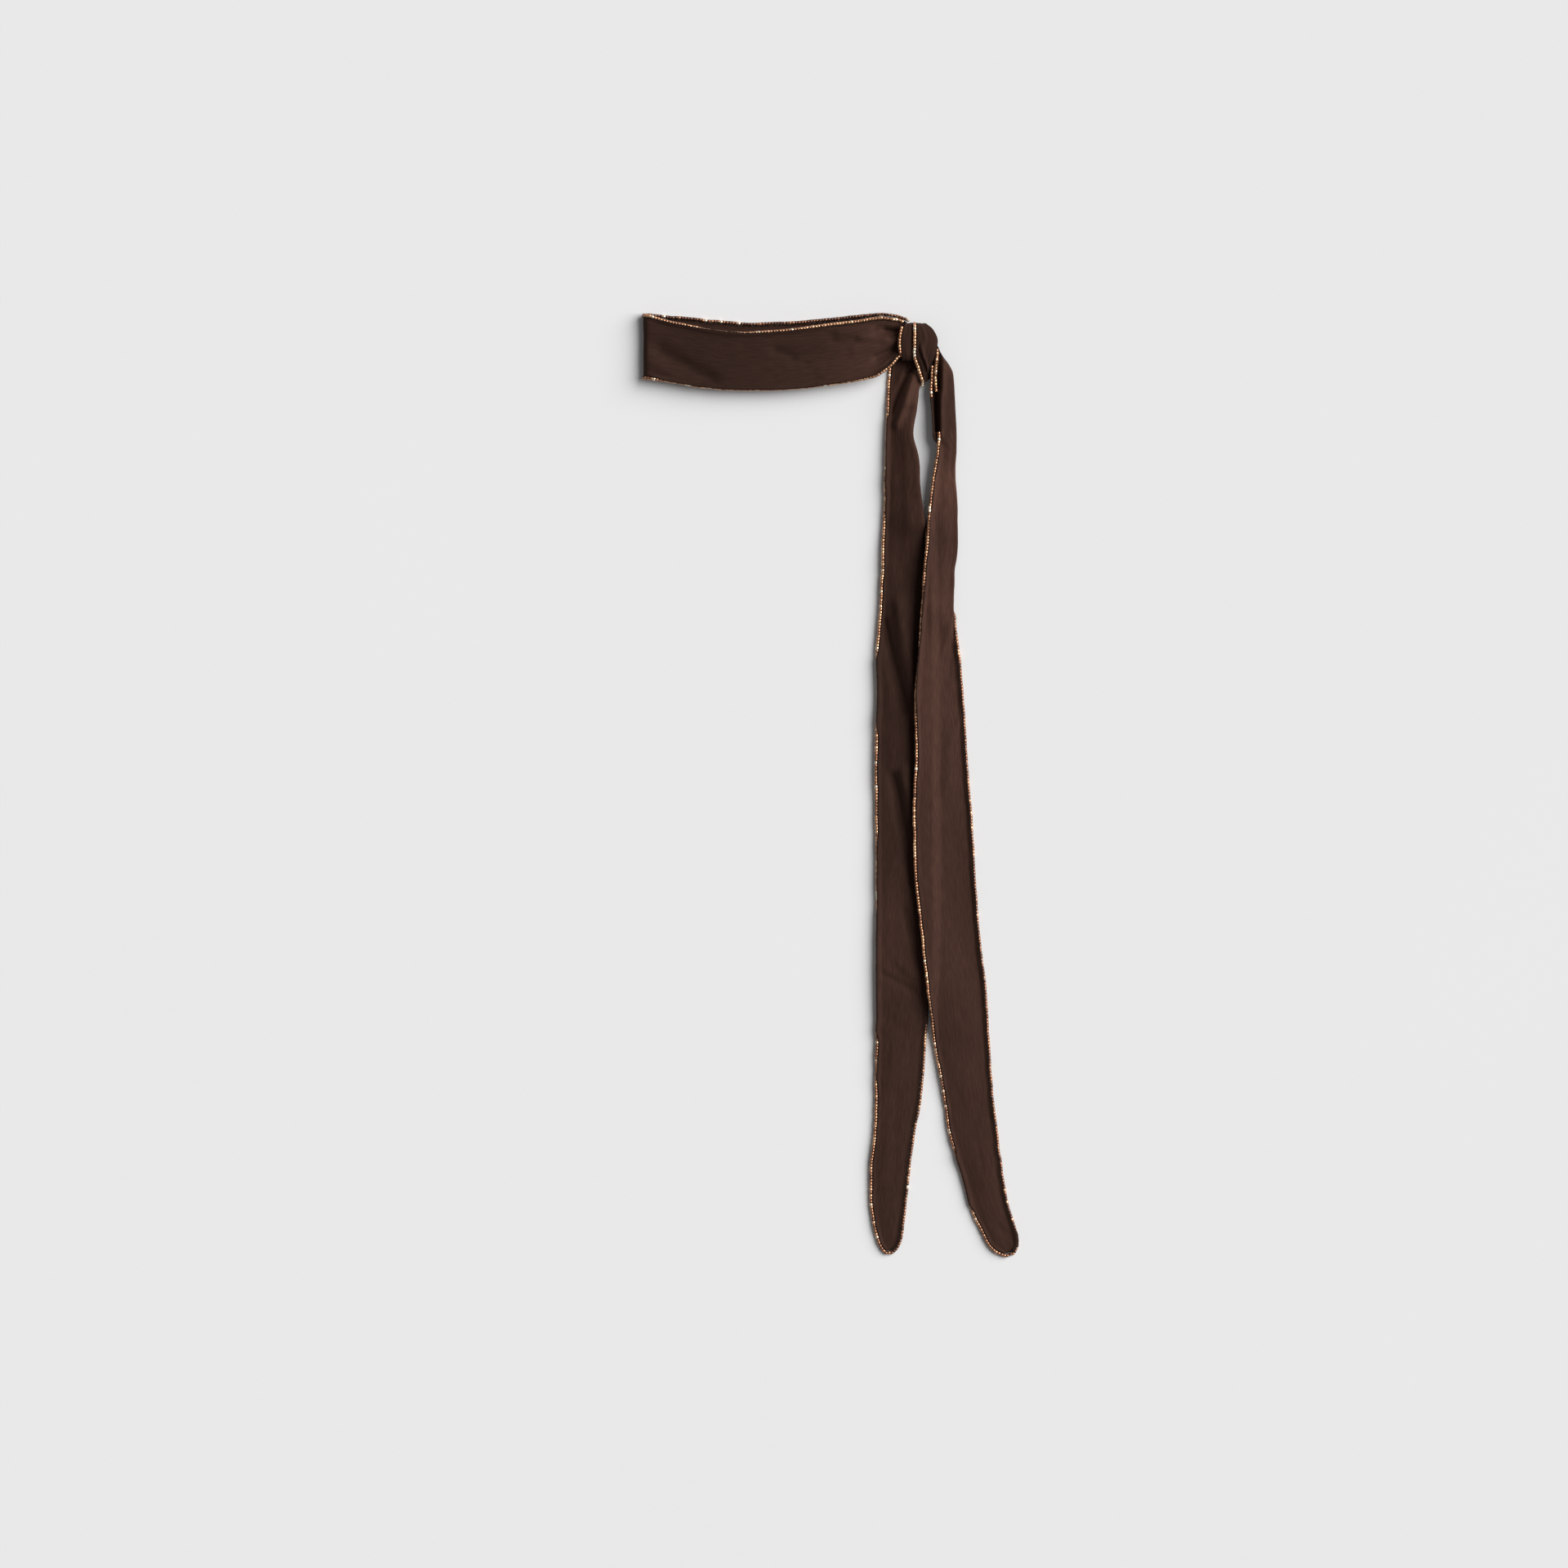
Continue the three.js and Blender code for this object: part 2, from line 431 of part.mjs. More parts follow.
// A closed wall of cloth: the grid's points moved to both sides, with a rim round the four edges
function sheetGeometry(grid, facing) {
  const stations = grid.length;
  const width = grid[0].length;
  const positions = [];
  for (const side of [HALF_WALL * facing, -HALF_WALL * facing]) {
    for (let station = 0; station < stations; station += 1) {
      for (let step = 0; step < width; step += 1) {
        const normal = gridNormal(grid, station, step);
        const point = grid[station][step].clone().addScaledVector(normal, side);
        positions.push(point.x, point.y, point.z);
      }
    }
  }
  const upper = (station, step) => station * width + step;
  const lower = (station, step) => stations * width + upper(station, step);
  const faces = [];
  const addQuad = (a, b, c, d) => {
    if (facing > 0) {
      faces.push(a, b, c, a, c, d);
    } else {
      faces.push(a, c, b, a, d, c);
    }
  };
  for (let s = 0; s < stations - 1; s += 1) {
    for (let k = 0; k < width - 1; k += 1) {
      addQuad(upper(s, k), upper(s + 1, k), upper(s + 1, k + 1), upper(s, k + 1));
      addQuad(lower(s, k), lower(s, k + 1), lower(s + 1, k + 1), lower(s + 1, k));
    }
    addQuad(upper(s, 0), lower(s, 0), lower(s + 1, 0), upper(s + 1, 0));
    addQuad(upper(s + 1, width - 1), lower(s + 1, width - 1), lower(s, width - 1), upper(s, width - 1));
  }
  for (let k = 0; k < width - 1; k += 1) {
    addQuad(upper(0, k + 1), lower(0, k + 1), lower(0, k), upper(0, k));
    addQuad(upper(stations - 1, k), lower(stations - 1, k), lower(stations - 1, k + 1), upper(stations - 1, k + 1));
  }
  const geometry = new THREE.BufferGeometry();
  geometry.setAttribute("position", new THREE.Float32BufferAttribute(positions, 3));
  geometry.setIndex(faces);
  geometry.computeVertexNormals();
  return geometry;
}

// The bead row's middle beside one edge point: outward from the cloth and square to the edge
function beadPoint(grid, station, step) {
  const last = grid[station].length - 1;
  const edge = grid[station][step];
  const inner = grid[station][step === 0 ? 1 : last - 1];
  const before = grid[Math.max(0, station - 1)][step];
  const after = grid[Math.min(grid.length - 1, station + 1)][step];
  const along = after.clone().sub(before).normalize();
  const outward = edge.clone().sub(inner);
  outward.addScaledVector(along, -outward.dot(along)).normalize();
  const point = edge.clone().addScaledVector(outward, EDGE_TO_BEAD_LINE);
  point.z = Math.max(point.z, BEAD_RADIUS);
  return point;
}

// A point at a section number and a step number across a grid, raised from it by a distance
function pointOver(grid, section, across, distance) {
  const station = Math.min(Math.floor(section), grid.length - 2);
  const step = Math.min(Math.floor(across), grid[0].length - 2);
  const near = grid[station][step].clone().lerp(grid[station][step + 1], across - step);
  const far = grid[station + 1][step].clone().lerp(grid[station + 1][step + 1], across - step);
  const along = far.clone().sub(near);
  const over = grid[station][step + 1].clone().sub(grid[station][step]);
  const normal = along.clone().cross(over).normalize();
  return near.addScaledVector(along, section - station).addScaledVector(normal, distance);
}

function beadLine(grid, step, first, last) {
  const points = [];
  for (let station = first; station <= last; station += 1) {
    points.push(beadPoint(grid, station, step));
  }
  return points;
}

// The bead row of a tail: down its left edge, round the tip and up its right edge
function tailBeadLine(grid, first) {
  const tip = grid.length - 1;
  const lastStep = grid[0].length - 1;
  const leftSide = beadLine(grid, 0, first, tip - 1);
  const rightSide = beadLine(grid, lastStep, first, tip - 1).reverse();
  const middle = grid[tip][lastStep / 2];
  const beyond = middle.clone().sub(grid[tip - 1][lastStep / 2]).normalize();
  const corner = (step) => {
    const point = beadPoint(grid, tip, step);
    return point.addScaledVector(beyond, 0.35 * EDGE_TO_BEAD_LINE);
  };
  const tipPoint = middle.clone().addScaledVector(beyond, EDGE_TO_BEAD_LINE + 0.3);
  tipPoint.z = Math.max(tipPoint.z, BEAD_RADIUS);
  return [...leftSide, corner(0), tipPoint, corner(lastStep), ...rightSide];
}

// A curve whose sections fall on its points, so that short steps stay short
class StationCurve extends THREE.CatmullRomCurve3 {
  getPointAt(t, target) {
    return this.getPoint(t, target);
  }

  getTangentAt(t, target) {
    return this.getTangent(t, target);
  }

  getSpacedPoints(divisions) {
    return this.getPoints(divisions);
  }
}

function beadRowGeometry(points) {
  const section = new THREE.Shape();
  for (let side = 0; side < BEAD_ROW_SIDES; side += 1) {
    const angle = (2 * Math.PI * (side + 0.5)) / BEAD_ROW_SIDES;
    const x = BEAD_RADIUS * Math.cos(angle);
    const y = BEAD_RADIUS * Math.sin(angle);
    if (side === 0) {
      section.moveTo(x, y);
    } else {
      section.lineTo(x, y);
    }
  }
  section.closePath();
  return new THREE.ExtrudeGeometry(section, {
    steps: points.length - 1,
    extrudePath: new StationCurve(points),
    bevelEnabled: false,
    curveSegments: 1,
  });
}

function chiffon() {
  return new THREE.MeshStandardMaterial({ color: 0x40291f, roughness: 0.9, metalness: 0, side: THREE.DoubleSide });
}

function bronzeBeads() {
  return new THREE.MeshStandardMaterial({ color: 0xb58654, roughness: 0.3, metalness: 0.6 });
}

function addPart(group, name, geometry, material) {
  const mesh = new THREE.Mesh(geometry, material);
  mesh.name = name;
  group.add(mesh);
}

function addCloth(group, grids) {
  addPart(group, "neck_loop", sheetGeometry(grids.neck, 1), chiffon());
  addPart(group, "knot_wrap", sheetGeometry(grids.wrap, 1), chiffon());
  addPart(group, "left_tail", sheetGeometry(grids.leftTail, 1), chiffon());
  addPart(group, "right_tail", sheetGeometry(grids.rightTail, 1), chiffon());
}

function addBeadRows(group, grids) {
  const lastStep = STRIP_ACROSS_STEPS;
  const neckEnd = grids.neck.length - 4;
  const foldedEdge = FOLDED_EDGE_ROWS.map((row) =>
    pointOver(grids.rightTail, row.section, row.across, BEAD_LINE_ABOVE_CLOTH + 0.3),
  );
  const lines = {
    bead_edging_neck_top: beadLine(grids.neck, lastStep, 2, neckEnd),
    bead_edging_neck_bottom: beadLine(grids.neck, 0, 2, neckEnd),
    bead_edging_knot_inner: beadLine(grids.wrap, 0, INNER_TURN_ROWS.first, INNER_TURN_ROWS.last),
    bead_edging_knot_outer: beadLine(grids.wrap, 0, OUTER_TURN_ROWS.first, OUTER_TURN_ROWS.last),
    bead_edging_left_tail: tailBeadLine(grids.leftTail, 2),
    bead_edging_right_tail: tailBeadLine(grids.rightTail, 5),
    bead_edging_folded_edge: foldedEdge,
  };
  for (const [name, points] of Object.entries(lines)) {
    addPart(group, name, beadRowGeometry(points), bronzeBeads());
  }
}

const group = new THREE.Group();
const grids = {
  neck: neckGrid(),
  wrap: wrapGrid(),
  leftTail: tailGrid(LEFT_TAIL_ROWS, LEFT_TAIL_FURROWS, () => 0),
  rightTail: tailGrid(RIGHT_TAIL_ROWS, RIGHT_TAIL_FURROWS, climbOverLeftTail),
};
addCloth(group, grids);
addBeadRows(group, grids);

export default group;
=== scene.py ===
"""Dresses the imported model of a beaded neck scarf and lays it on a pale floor.

The scarf is one long narrow strip of dark brown crinkled chiffon, edged all round with cylinder beads. Its
neck loop is pressed flat to the left, its knot is at the loop's right end and its two tails run down from
the knot. The tables are in millimetres and degrees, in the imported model's frame; meshes are in metres.
"""

import logging
import math
from dataclasses import dataclass
from enum import Enum

import bpy
import numpy as np
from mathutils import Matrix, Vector


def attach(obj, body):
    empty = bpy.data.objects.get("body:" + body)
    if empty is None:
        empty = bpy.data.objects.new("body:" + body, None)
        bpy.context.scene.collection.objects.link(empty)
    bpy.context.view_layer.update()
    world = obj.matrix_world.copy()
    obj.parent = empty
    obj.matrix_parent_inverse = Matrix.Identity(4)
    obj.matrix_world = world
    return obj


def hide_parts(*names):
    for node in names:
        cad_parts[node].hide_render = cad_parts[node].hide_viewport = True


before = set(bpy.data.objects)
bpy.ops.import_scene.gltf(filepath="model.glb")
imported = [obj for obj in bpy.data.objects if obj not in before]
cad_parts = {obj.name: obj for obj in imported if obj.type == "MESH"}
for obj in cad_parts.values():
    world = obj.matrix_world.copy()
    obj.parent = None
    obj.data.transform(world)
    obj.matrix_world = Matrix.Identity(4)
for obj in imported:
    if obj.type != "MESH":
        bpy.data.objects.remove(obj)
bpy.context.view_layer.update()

log = logging.getLogger("beaded_scarf")

Array = np.ndarray
Colour = tuple[float, float, float]
Rows = tuple[tuple[float, ...], ...]
Sizes = dict[str, Array]
Pair = tuple[Array, Array]
Material = bpy.types.Material
Object = bpy.types.Object
Node = bpy.types.Node
Socket = bpy.types.NodeSocket

MM = 0.001
HALF_CAD_WALL = 0.6
BEAD_RADIUS = 1.1
BEAD_LENGTH = 2.0
BEAD_PITCH = 2.06
EDGE_TO_BEADS = 1.5
BEAD_ROW_WIDTH = 2.6
TUCK_RADIUS = 1.25
CLOTH_THICKNESS = 0.4
HEM_RADIUS = 0.36
FLAT_LENGTH = 1820.0
OVERLAP_HEIGHT = 3.4
OVERLAP_REACH = 7.5
OVERLAP_RAMP = 6.5
LOOP_CENTRE_X = -124.0
LOOP_UPPER_HEIGHT = 9.0
LOOP_LOWER_HEIGHT = 0.6

# The cloth nearer to an edge than NEAR_EDGE rises over its beads, where the row has more than SOME_BEADS of
# its width, and it begins to rise CLIMB_REACH before their middle. A tail's right edge doesn't show where
# that side is folded under by CURLED degrees or more.
NEAR_EDGE = 2.4
SOME_BEADS = 0.2
CLIMB_REACH = 3.3
CURLED = 25.0

# In which distance from the edge the finer creases set in
TAIL_CREASE_FADE = 1.4
NECK_CREASE_FADE = 4.0

# Place and width of the hollow, and where a tail rises towards its folded side, as shares of the width
HOLLOW_PLACE = 0.27
HOLLOW_WIDTH = 0.13
TUCK_SHARE = 0.6

# How fast the extra lift of an edge falls off towards the other one
LIFT_POWER = 1.6

# The gap between beads and cloth, and how far before and after a bead its thread's direction is read
BEAD_CLEARANCE = 0.3
LOOK_AHEAD = 0.6

# Between which rows of the tables the bead rows run, or at which row they begin on each edge
KNOT_INNER_ROWS = (25.0, 28.0)
KNOT_OUTER_ROWS = (7.4, 15.6)
LEFT_TAIL_FIRST_ROWS = (2.0, 6.0)
RIGHT_TAIL_FIRST_ROWS = (11.0, 7.0)

# The columns of the section tables, each with the value that a shorter row has there
TAIL_COLUMNS = {
    "leftX": 0, "leftY": 0, "rightX": 0, "rightY": 0, "crown": 0, "curl": 0, "flap": 2, "beads": 1, "lift": 0,
    "hollow": 0, "pleat": 0,
}
NECK_COLUMNS = {"x": 0, "topY": 0, "bottomY": 0, "height": 0, "pleat": 0, "beads": 1}
WRAP_COLUMNS = {"leftX": 0, "leftY": 0, "leftZ": 0, "rightX": 0, "rightY": 0, "rightZ": 0, "bulge": 0}

LEFT_TAIL_ROWS = (
    (47.5, 302.5, 56.5, 302.5, 0, 0, 2, 0),
    (42.5, 292, 60, 292, 0, 0, 2, 0.5),
    (39.5, 286, 64.5, 285.5, 0.2),
    (38.9, 280, 63.2, 280, 0.3, 70, 1.2),
    (38.5, 275, 61.6, 275, 0.3, 110, 1.2),
    (38.3, 270.5, 60.3, 270.5, 0.3, 125, 1.2),
    (38.2, 266, 59.9, 266, 0.4, 135, 1.2),
    (38.1, 261, 59.3, 261, 0.5, 155, 1.6),
    (38, 256, 58.7, 256, 0.6, 180, 2.4),
    (37.5, 241.5, 56.5, 241.5, 0.8, 180, 5),
    (37, 223.5, 60.5, 223.5, 0.8, 180, 5),
    (36.5, 204, 61.5, 204, 0.8, 180, 4),
    (36.4, 198, 62, 198, 0.8, 180, 3),
    (36.2, 193, 62.5, 193, 0.8, 170, 2.2),
    (35.7, 183, 64, 183, 0.8, 130, 1.2),
    (35, 171, 65.5, 171, 1, 50, 1.2),
    (34, 139, 67, 139, 1.2),
    (32, 106.5, 67.5, 106.5, 1.2),
    (31, 88, 68, 88, 1.2),
    (31.5, 57, 68, 57, 1.2),
    (30, 22.5, 68, 22.5, 1.2),
    (30.5, -34, 68.5, -34, 1.2),
    (31, -98.5, 68.5, -98.5, 1.2),
    (31, -150, 66.8, -150, 1.2),
    (30.5, -187, 65, -187, 1.3),
    (30, -212.5, 62.5, -212.5, 1.3),
    (29.5, -236, 58, -238.5, 1.2),
    (26.5, -262, 54.5, -265, 1.2),
    (26.5, -283.5, 52.5, -284.5, 1),
    (28.5, -299.5, 50.5, -300, 0.8),
    (31, -310.5, 49.2, -310.5, 0.5),
    (33.2, -315.8, 47, -315.8, 0.3),
    (36, -318.7, 43.6, -318.7, 0.1, 0, 1),
)

RIGHT_TAIL_ROWS = (
    (52.3, 294.7, 52.3, 312, 0, 0, 1, 0, 7.4, 0, 0.8),
    (57, 294, 57.5, 312, 0, 0, 1, 0, 7.4, 0, 0.9),
    (62, 293, 65.5, 310, 0, 0, 1, 0, 7.4, 0, 1.3),
    (65.5, 291, 71.5, 303, 0, 0, 1, 0, 7.2, 0.3, 1),
    (67.6, 288.3, 76.5, 293.5, 0.3, 40, 1, 0, 6.8, 0.6, 0.6),
    (68.5, 285.5, 81, 287.5, 0.5, 90, 1, 0, 5.4, 0.9, 0.2),
    (68.4, 281, 83.5, 282.5, 0.5, 140, 1.2, 0, 4, 1),
    (68.2, 274, 84.5, 274, 0.5, 180, 2, 0, 2.8, 0.9),
    (68.3, 266.5, 85, 264, 0.5, 180, 3, 0, 1.9, 0.6),
    (69.4, 253.5, 85.5, 252, 0.5, 180, 3, 0, 1.3, 0.3),
    (70.2, 238.5, 86, 237, 0.5, 180, 3, 0, 0.9, 0.3),
    (72, 230.5, 86, 229.5, 0.5, 180, 2.5, 1, 0.5, 0.4),
    (69.5, 212, 85.5, 212, 0.7, 180, 4),
    (66, 185.5, 87, 185.5, 1, 180, 7),
    (64.5, 166, 87, 167, 1, 180, 7),
    (63, 146.5, 85, 146.5, 1, 180, 6),
    (62, 130, 84.2, 130, 1, 180, 4),
    (61.6, 125, 84.2, 125, 1, 160, 2.2),
    (61.3, 120, 84.4, 120, 1, 120, 1.2),
    (60.8, 110, 85.8, 110, 1, 50, 1.2),
    (60, 93, 88.5, 93, 1),
    (57, 57, 91.5, 57, 0.9),
    (57.5, 24, 93.5, 22.5, 0.8),
    (56, -13, 96.5, -13, 0.8),
    (56.5, -55, 99, -55, 0.8),
    (61, -98.5, 102, -98.5, 0.9),
    (65.5, -142, 107, -142, 1),
    (70, -175.5, 109, -175.5, 1.2),
    (76, -209, 111.5, -209, 1.3),
    (80.5, -238.5, 114.5, -237, 1.3),
    (87.5, -261, 117.3, -258.5, 1.2),
    (92.5, -279.5, 119.8, -275.5, 1.1),
    (97, -294.5, 123, -290.5, 0.9),
    (102.5, -306, 126.4, -301.5, 0.7),
    (106.5, -314.2, 128.5, -309.5, 0.5),
    (110.8, -318.8, 128.6, -314.5, 0.3),
    (117, -321.3, 126.4, -318.7, 0.1, 0, 1),
)

NECK_UPPER_ROWS = (
    (51.9, 314.6, 294.7, 8, 0.8, 0.5),
    (48.8, 318.2, 293.7, 8, 0.9, 0.9),
    (45.8, 319.6, 292.3, 8, 1, 0.95),
    (41, 320.3, 286.8, 8.1, 1.3),
    (35, 321, 282, 8.3, 1.1),
    (28.5, 320.5, 278.5, 8.5, 0.7),
    (18.5, 318.5, 276.5, 8.8, 0.3),
    (1.5, 316.5, 274, 9, 0.1),
    (-18, 314, 271.5, 9),
    (-40.5, 311.5, 270, 9),
    (-63, 310.5, 270, 9),
    (-85.5, 313, 271.5, 9),
    (-105, 317, 274.5, 9),
    (LOOP_CENTRE_X, 322.3, 277.5, LOOP_UPPER_HEIGHT),
)

NECK_LOWER_ROWS = (
    (LOOP_CENTRE_X, 323.6, 278, LOOP_LOWER_HEIGHT),
    (-99.5, 321, 275, 0.6),
    (-77, 319, 273, 0.6),
    (-54, 317, 272.5, 0.6),
    (-30, 318, 273, 0.6),
    (-3, 320, 275, 0.6),
    (15, 322, 278.5, 0.8),
    (25, 323.2, 281.5, 1.6),
    (34, 323.8, 285, 3.2),
    (41, 323.2, 288.5, 4.2),
    (45.5, 322.4, 292, 4.2, 0, 0.95),
    (48.5, 321.2, 293.5, 4.2, 0, 0.8),
    (51.7, 318.6, 295, 4.2, 0, 0.6),
)

WRAP_ROWS = (
    (52.1, 295, 4.2, 52.1, 316.6, 4.2),
    (56, 293.8, 4.2, 56.6, 313.6, 4.2),
    (58.5, 291.5, 4.2, 63.8, 308.8, 4.2),
    (59.8, 288.2, 4.2, 68.4, 299, 4),
    (61, 284, 4, 69.2, 288.6, 3.6),
    (62.2, 279.6, 3.8, 69, 281.8, 3),
    (63.2, 276.9, 4.8, 67.6, 278.7, 3.9),
    (64.1, 276.4, 7.1, 65.4, 276.8, 7.1),
    (63.9, 277.6, 8.9, 65.7, 278.3, 8.9),
    (62.7, 281.6, 10, 66.5, 283.1, 10.8, 0.2),
    (61.1, 286.6, 10.7, 68.3, 287.6, 12.2, 0.3),
    (58.9, 293, 12.1, 70.9, 293.7, 13.2, 0.4),
    (58.6, 298.8, 12.8, 72.3, 299.3, 13.2, 0.7),
    (58.8, 305.8, 13, 72.7, 305.5, 12.7, 0.8),
    (58.8, 312, 12.4, 69.8, 311.6, 12, 0.6),
    (58.8, 315.2, 10.7, 66.5, 314.7, 10.3, 0.2),
    (58.5, 316.4, 7.7, 64.3, 316.2, 7.4),
    (57.6, 315.4, 4.8, 63.2, 315.2, 4.6),
    (56.6, 312.4, 2.9, 63.2, 312.2, 2.9),
    (54, 306.6, 2.4, 61.5, 305.6, 2.4),
    (51, 299.4, 2.4, 58.4, 298.3, 2.4),
    (49.4, 294.3, 2.5, 56, 293.8, 2.5),
    (49, 291.8, 4.2, 55.7, 291.5, 4.2),
    (48.9, 291.1, 6.8, 55.6, 290.8, 6.8),
    (49, 292, 9.6, 55.6, 291.7, 9.6, 0.2),
    (49, 295.4, 11.3, 55.7, 295.1, 11.4, 0.3),
    (48.4, 301, 11.7, 55.9, 300.7, 11.7, 0.4),
    (48.9, 308.3, 11.9, 56.1, 308, 11.7, 0.3),
    (50.2, 313.6, 11.2, 56.4, 313.9, 10.9, 0.2),
    (50.9, 315.8, 8.9, 56.9, 316.2, 8.7),
    (50.9, 316.3, 5.8, 56.6, 316.7, 5.8),
    (50.6, 315.2, 3, 55.4, 315.3, 3),
    (49.4, 310.8, 1.1, 54.7, 310.8, 1.1),
    (47.8, 306.5, 0.7, 55.2, 306.5, 0.7),
)

# The beads of the right tail's two folds beside the knot, from the top
FOLDED_EDGE_BEADS = (
    (72.7, 298.8), (72.7, 294.8), (72.4, 292), (72.1, 289.8), (71.9, 286.7), (71.8, 282.8), (71.4, 279.7),
    (71.6, 276.4), (71.9, 272.8), (72.3, 269.4),
)
TUCKED_EDGE_BEADS = (
    (69.2, 287.4), (69.1, 282.8), (68.9, 279.2), (68.7, 274.9), (68.5, 270.8), (68.9, 265.6),
)

# The same edge's beads where they come out of the hollow below the knot, and their height
HOLLOW_EDGE_BEADS = (
    (73.8, 242, 8.9), (74.1, 238.6, 8.6), (73.9, 235, 8.3), (73.5, 232, 8.2),
)

# Beads that hang on past the foot of the knot's outer turn, and those that go on behind the knot
FOOT_BEADS = ((62.4, 273.2, 4.6), (62.6, 275, 6.4))
BEHIND_KNOT_BEADS = ((46, 321.2, 4.6), (50, 319.7, 5.4), (53.8, 317.9, 6.6))

# Single beads painted palest gold as painted glints, where they turn a bright face to the light, by their x
# and y
PAINTED_GLINT_BEADS = (
    (37.7, 281.4), (51.7, -274.7), (53.2, 318.2), (62.6, 275.2), (62.5, 273.6), (73.9, 237), (68.6, 268),
    (-114.5, 321), (-84.8, 318.2), (-74.8, 317.6), (-63, 316.6),
)

# Furrows and ridges: start x and y, end x and y, depth and width. A negative depth is a ridge.
NECK_FURROWS = (
    (-117, 297, -81, 277, 0.8, 4.5), (-37, 297, -26, 293, 0.5, 4), (2, 303, 30, 300, 0.4, 3),
)
LEFT_TAIL_FURROWS = (
    (52, 286, 43, 259, -0.8, 3.5), (40, 150, 58, 110, -0.8, 5), (44, 1, 57, -66, 0.6, 4),
    (52, -89, 60, -122, 0.6, 4), (44, -125, 55, -139, 0.6, 4),
)
RIGHT_TAIL_FURROWS = (
    (82, 110, 76, 74, -0.8, 3), (83, 24, 80, 0, -0.5, 5), (86, -40, 92, -130, 0.4, 5),
)

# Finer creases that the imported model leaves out, in the same columns
NECK_CREASES = (
    (46, 310.3, 37, 312, 2.6, 1.8), (46, 300.5, 31, 293.5, 2.4, 2.4), (38, 305.5, 20, 306.5, -1.5, 2.2),
    (26, 311.5, 6, 309.5, -1.6, 3.4), (30, 300, 16, 298, -1, 3), (46, 315.5, 34, 316.2, -0.6, 1.2),
    (46, 295.5, 37, 288.5, -0.8, 1.5), (20, 300, 2, 303, 0.35, 2.4), (-117, 297, -84, 278, 1.6, 6.2),
    (-121, 288, -98, 275, -0.6, 3.4), (-38, 297, -26, 293, 0.8, 2.8), (-60, 300, 0, 296, 0.2, 3.5),
    (-100, 305, -60, 300, 0.2, 3.5), (-10, 286, 30, 289, 0.25, 3), (-10, 279, -20, 292, 0.3, 2.5),
)
LEFT_TAIL_CREASES = (
    (53.8, 286, 39.8, 254, 3.2, 1.9), (57.8, 282, 45.3, 247, -2.8, 2.8), (48, 250, 49, 180, 0.25, 2.5),
    (44, 215, 43, 150, -0.2, 2), (35.5, 112, 50, 52, 2.6, 3.4), (46, 124, 60, 48, -3.4, 5.2),
    (40, 60, 42, 10, -0.25, 3), (42, 6, 56, -66, 2, 3.2), (50, 10, 63, -60, -2.4, 4.4),
    (51, -87, 60, -122, 1.5, 2.6), (33, -128, 56, -141, 1.2, 2.4), (46, -122, 56, -130, -0.6, 2.5),
    (38, -160, 52, -170, 0.3, 3), (45, -210, 44, -280, 0.2, 2.5),
)
RIGHT_TAIL_CREASES = (
    (74.6, 297, 74.3, 272, 3.6, 1.1), (71.6, 268, 71.9, 243, 7.5, 1.6), (77, 290, 76.4, 268, -2.2, 1.8),
    (75.6, 266, 75.6, 240, -2.2, 1.6), (82, 262, 81, 225, -0.4, 1.8), (77, 226, 74, 190, 0.25, 2),
    (80, 216, 84, 206, -0.3, 1.2), (75, 216, 80, 210, -0.3, 1.2), (70, 180, 68, 120, -0.2, 2.2),
    (86.2, 111, 77.2, 84, 0.6, 1.4), (77.2, 84, 76.7, 70, 0.45, 1.4), (88.8, 111, 80.4, 84, 0.6, 3.2),
    (80.4, 84, 79.8, 70, 0.45, 3.2), (91, 52, 82, 30, -0.5, 2.4), (80, 34, 79, -6, -0.4, 3.5),
    (98, -235, 104, -262, 0.35, 2.5), (112, -300, 120, -309, 0.5, 3),
)

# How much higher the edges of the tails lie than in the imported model: place along Y, start edge, end edge
LEFT_TAIL_LIFTS = (
    (-320, 0.3, 0.3), (-250, 1.2, 1), (-180, 1.6, 1), (-150, 1.9, 0), (150, 2.1, 0), (163, 2.1, 1),
    (180, 2, 3.2), (204, 2, 4.4), (240, 1.9, 4.6), (262, 1.6, 3.2), (276, 0.6, 0.8), (285, 0.3, 0),
    (310, 0, 0),
)
RIGHT_TAIL_LIFTS = (
    (-323, 0.2, 0.2), (-260, 0.8, 0.5), (-200, 1.4, 0.3), (-160, 2.2, 0.2), (-120, 3, 0.2), (-60, 3, 0.2),
    (0, 3.4, 0.2), (60, 4.8, 0.2), (110, 5.4, 0.2), (150, 5.4, 0.4), (175, 5.8, 0.6), (205, 6.2, 0.8),
    (250, 6, 0.8), (264, 4.4, 0.6), (276, 1.4, 0.4), (286, 0, 0), (310, 0, 0),
)

# How far each edge of the cloth rolls up over its beads, by the place along it
LEFT_TAIL_START_ROLL = (
    (-320, 25), (-206, 30), (-200, 60), (-192, 72), (-184, 50), (-175, 45), (-168, 118), (-88, 118),
    (-82, 85), (-50, 78), (-34, 62), (-24, 40), (36, 35), (42, 115), (86, 115), (94, 30), (178, 30),
    (186, 72), (214, 78), (224, 105), (250, 105), (254, 60), (262, 15), (290, 10),
)
LEFT_TAIL_END_ROLL = (
    (-320, 25), (-250, 40), (-170, 35), (-161, 112), (-145, 112), (-130, 0), (300, 0),
)
RIGHT_TAIL_START_ROLL = (
    (-325, 25), (-292, 35), (-288, 115), (-256, 115), (-250, 60), (-240, 45), (-130, 30), (-110, 12),
    (-40, 8), (20, 25), (40, 55), (57, 72), (74, 88), (79, 112), (94, 112), (98, 85), (122, 70),
    (140, 45), (150, 35), (200, 25), (232, 20), (262, 25), (290, 30),
)
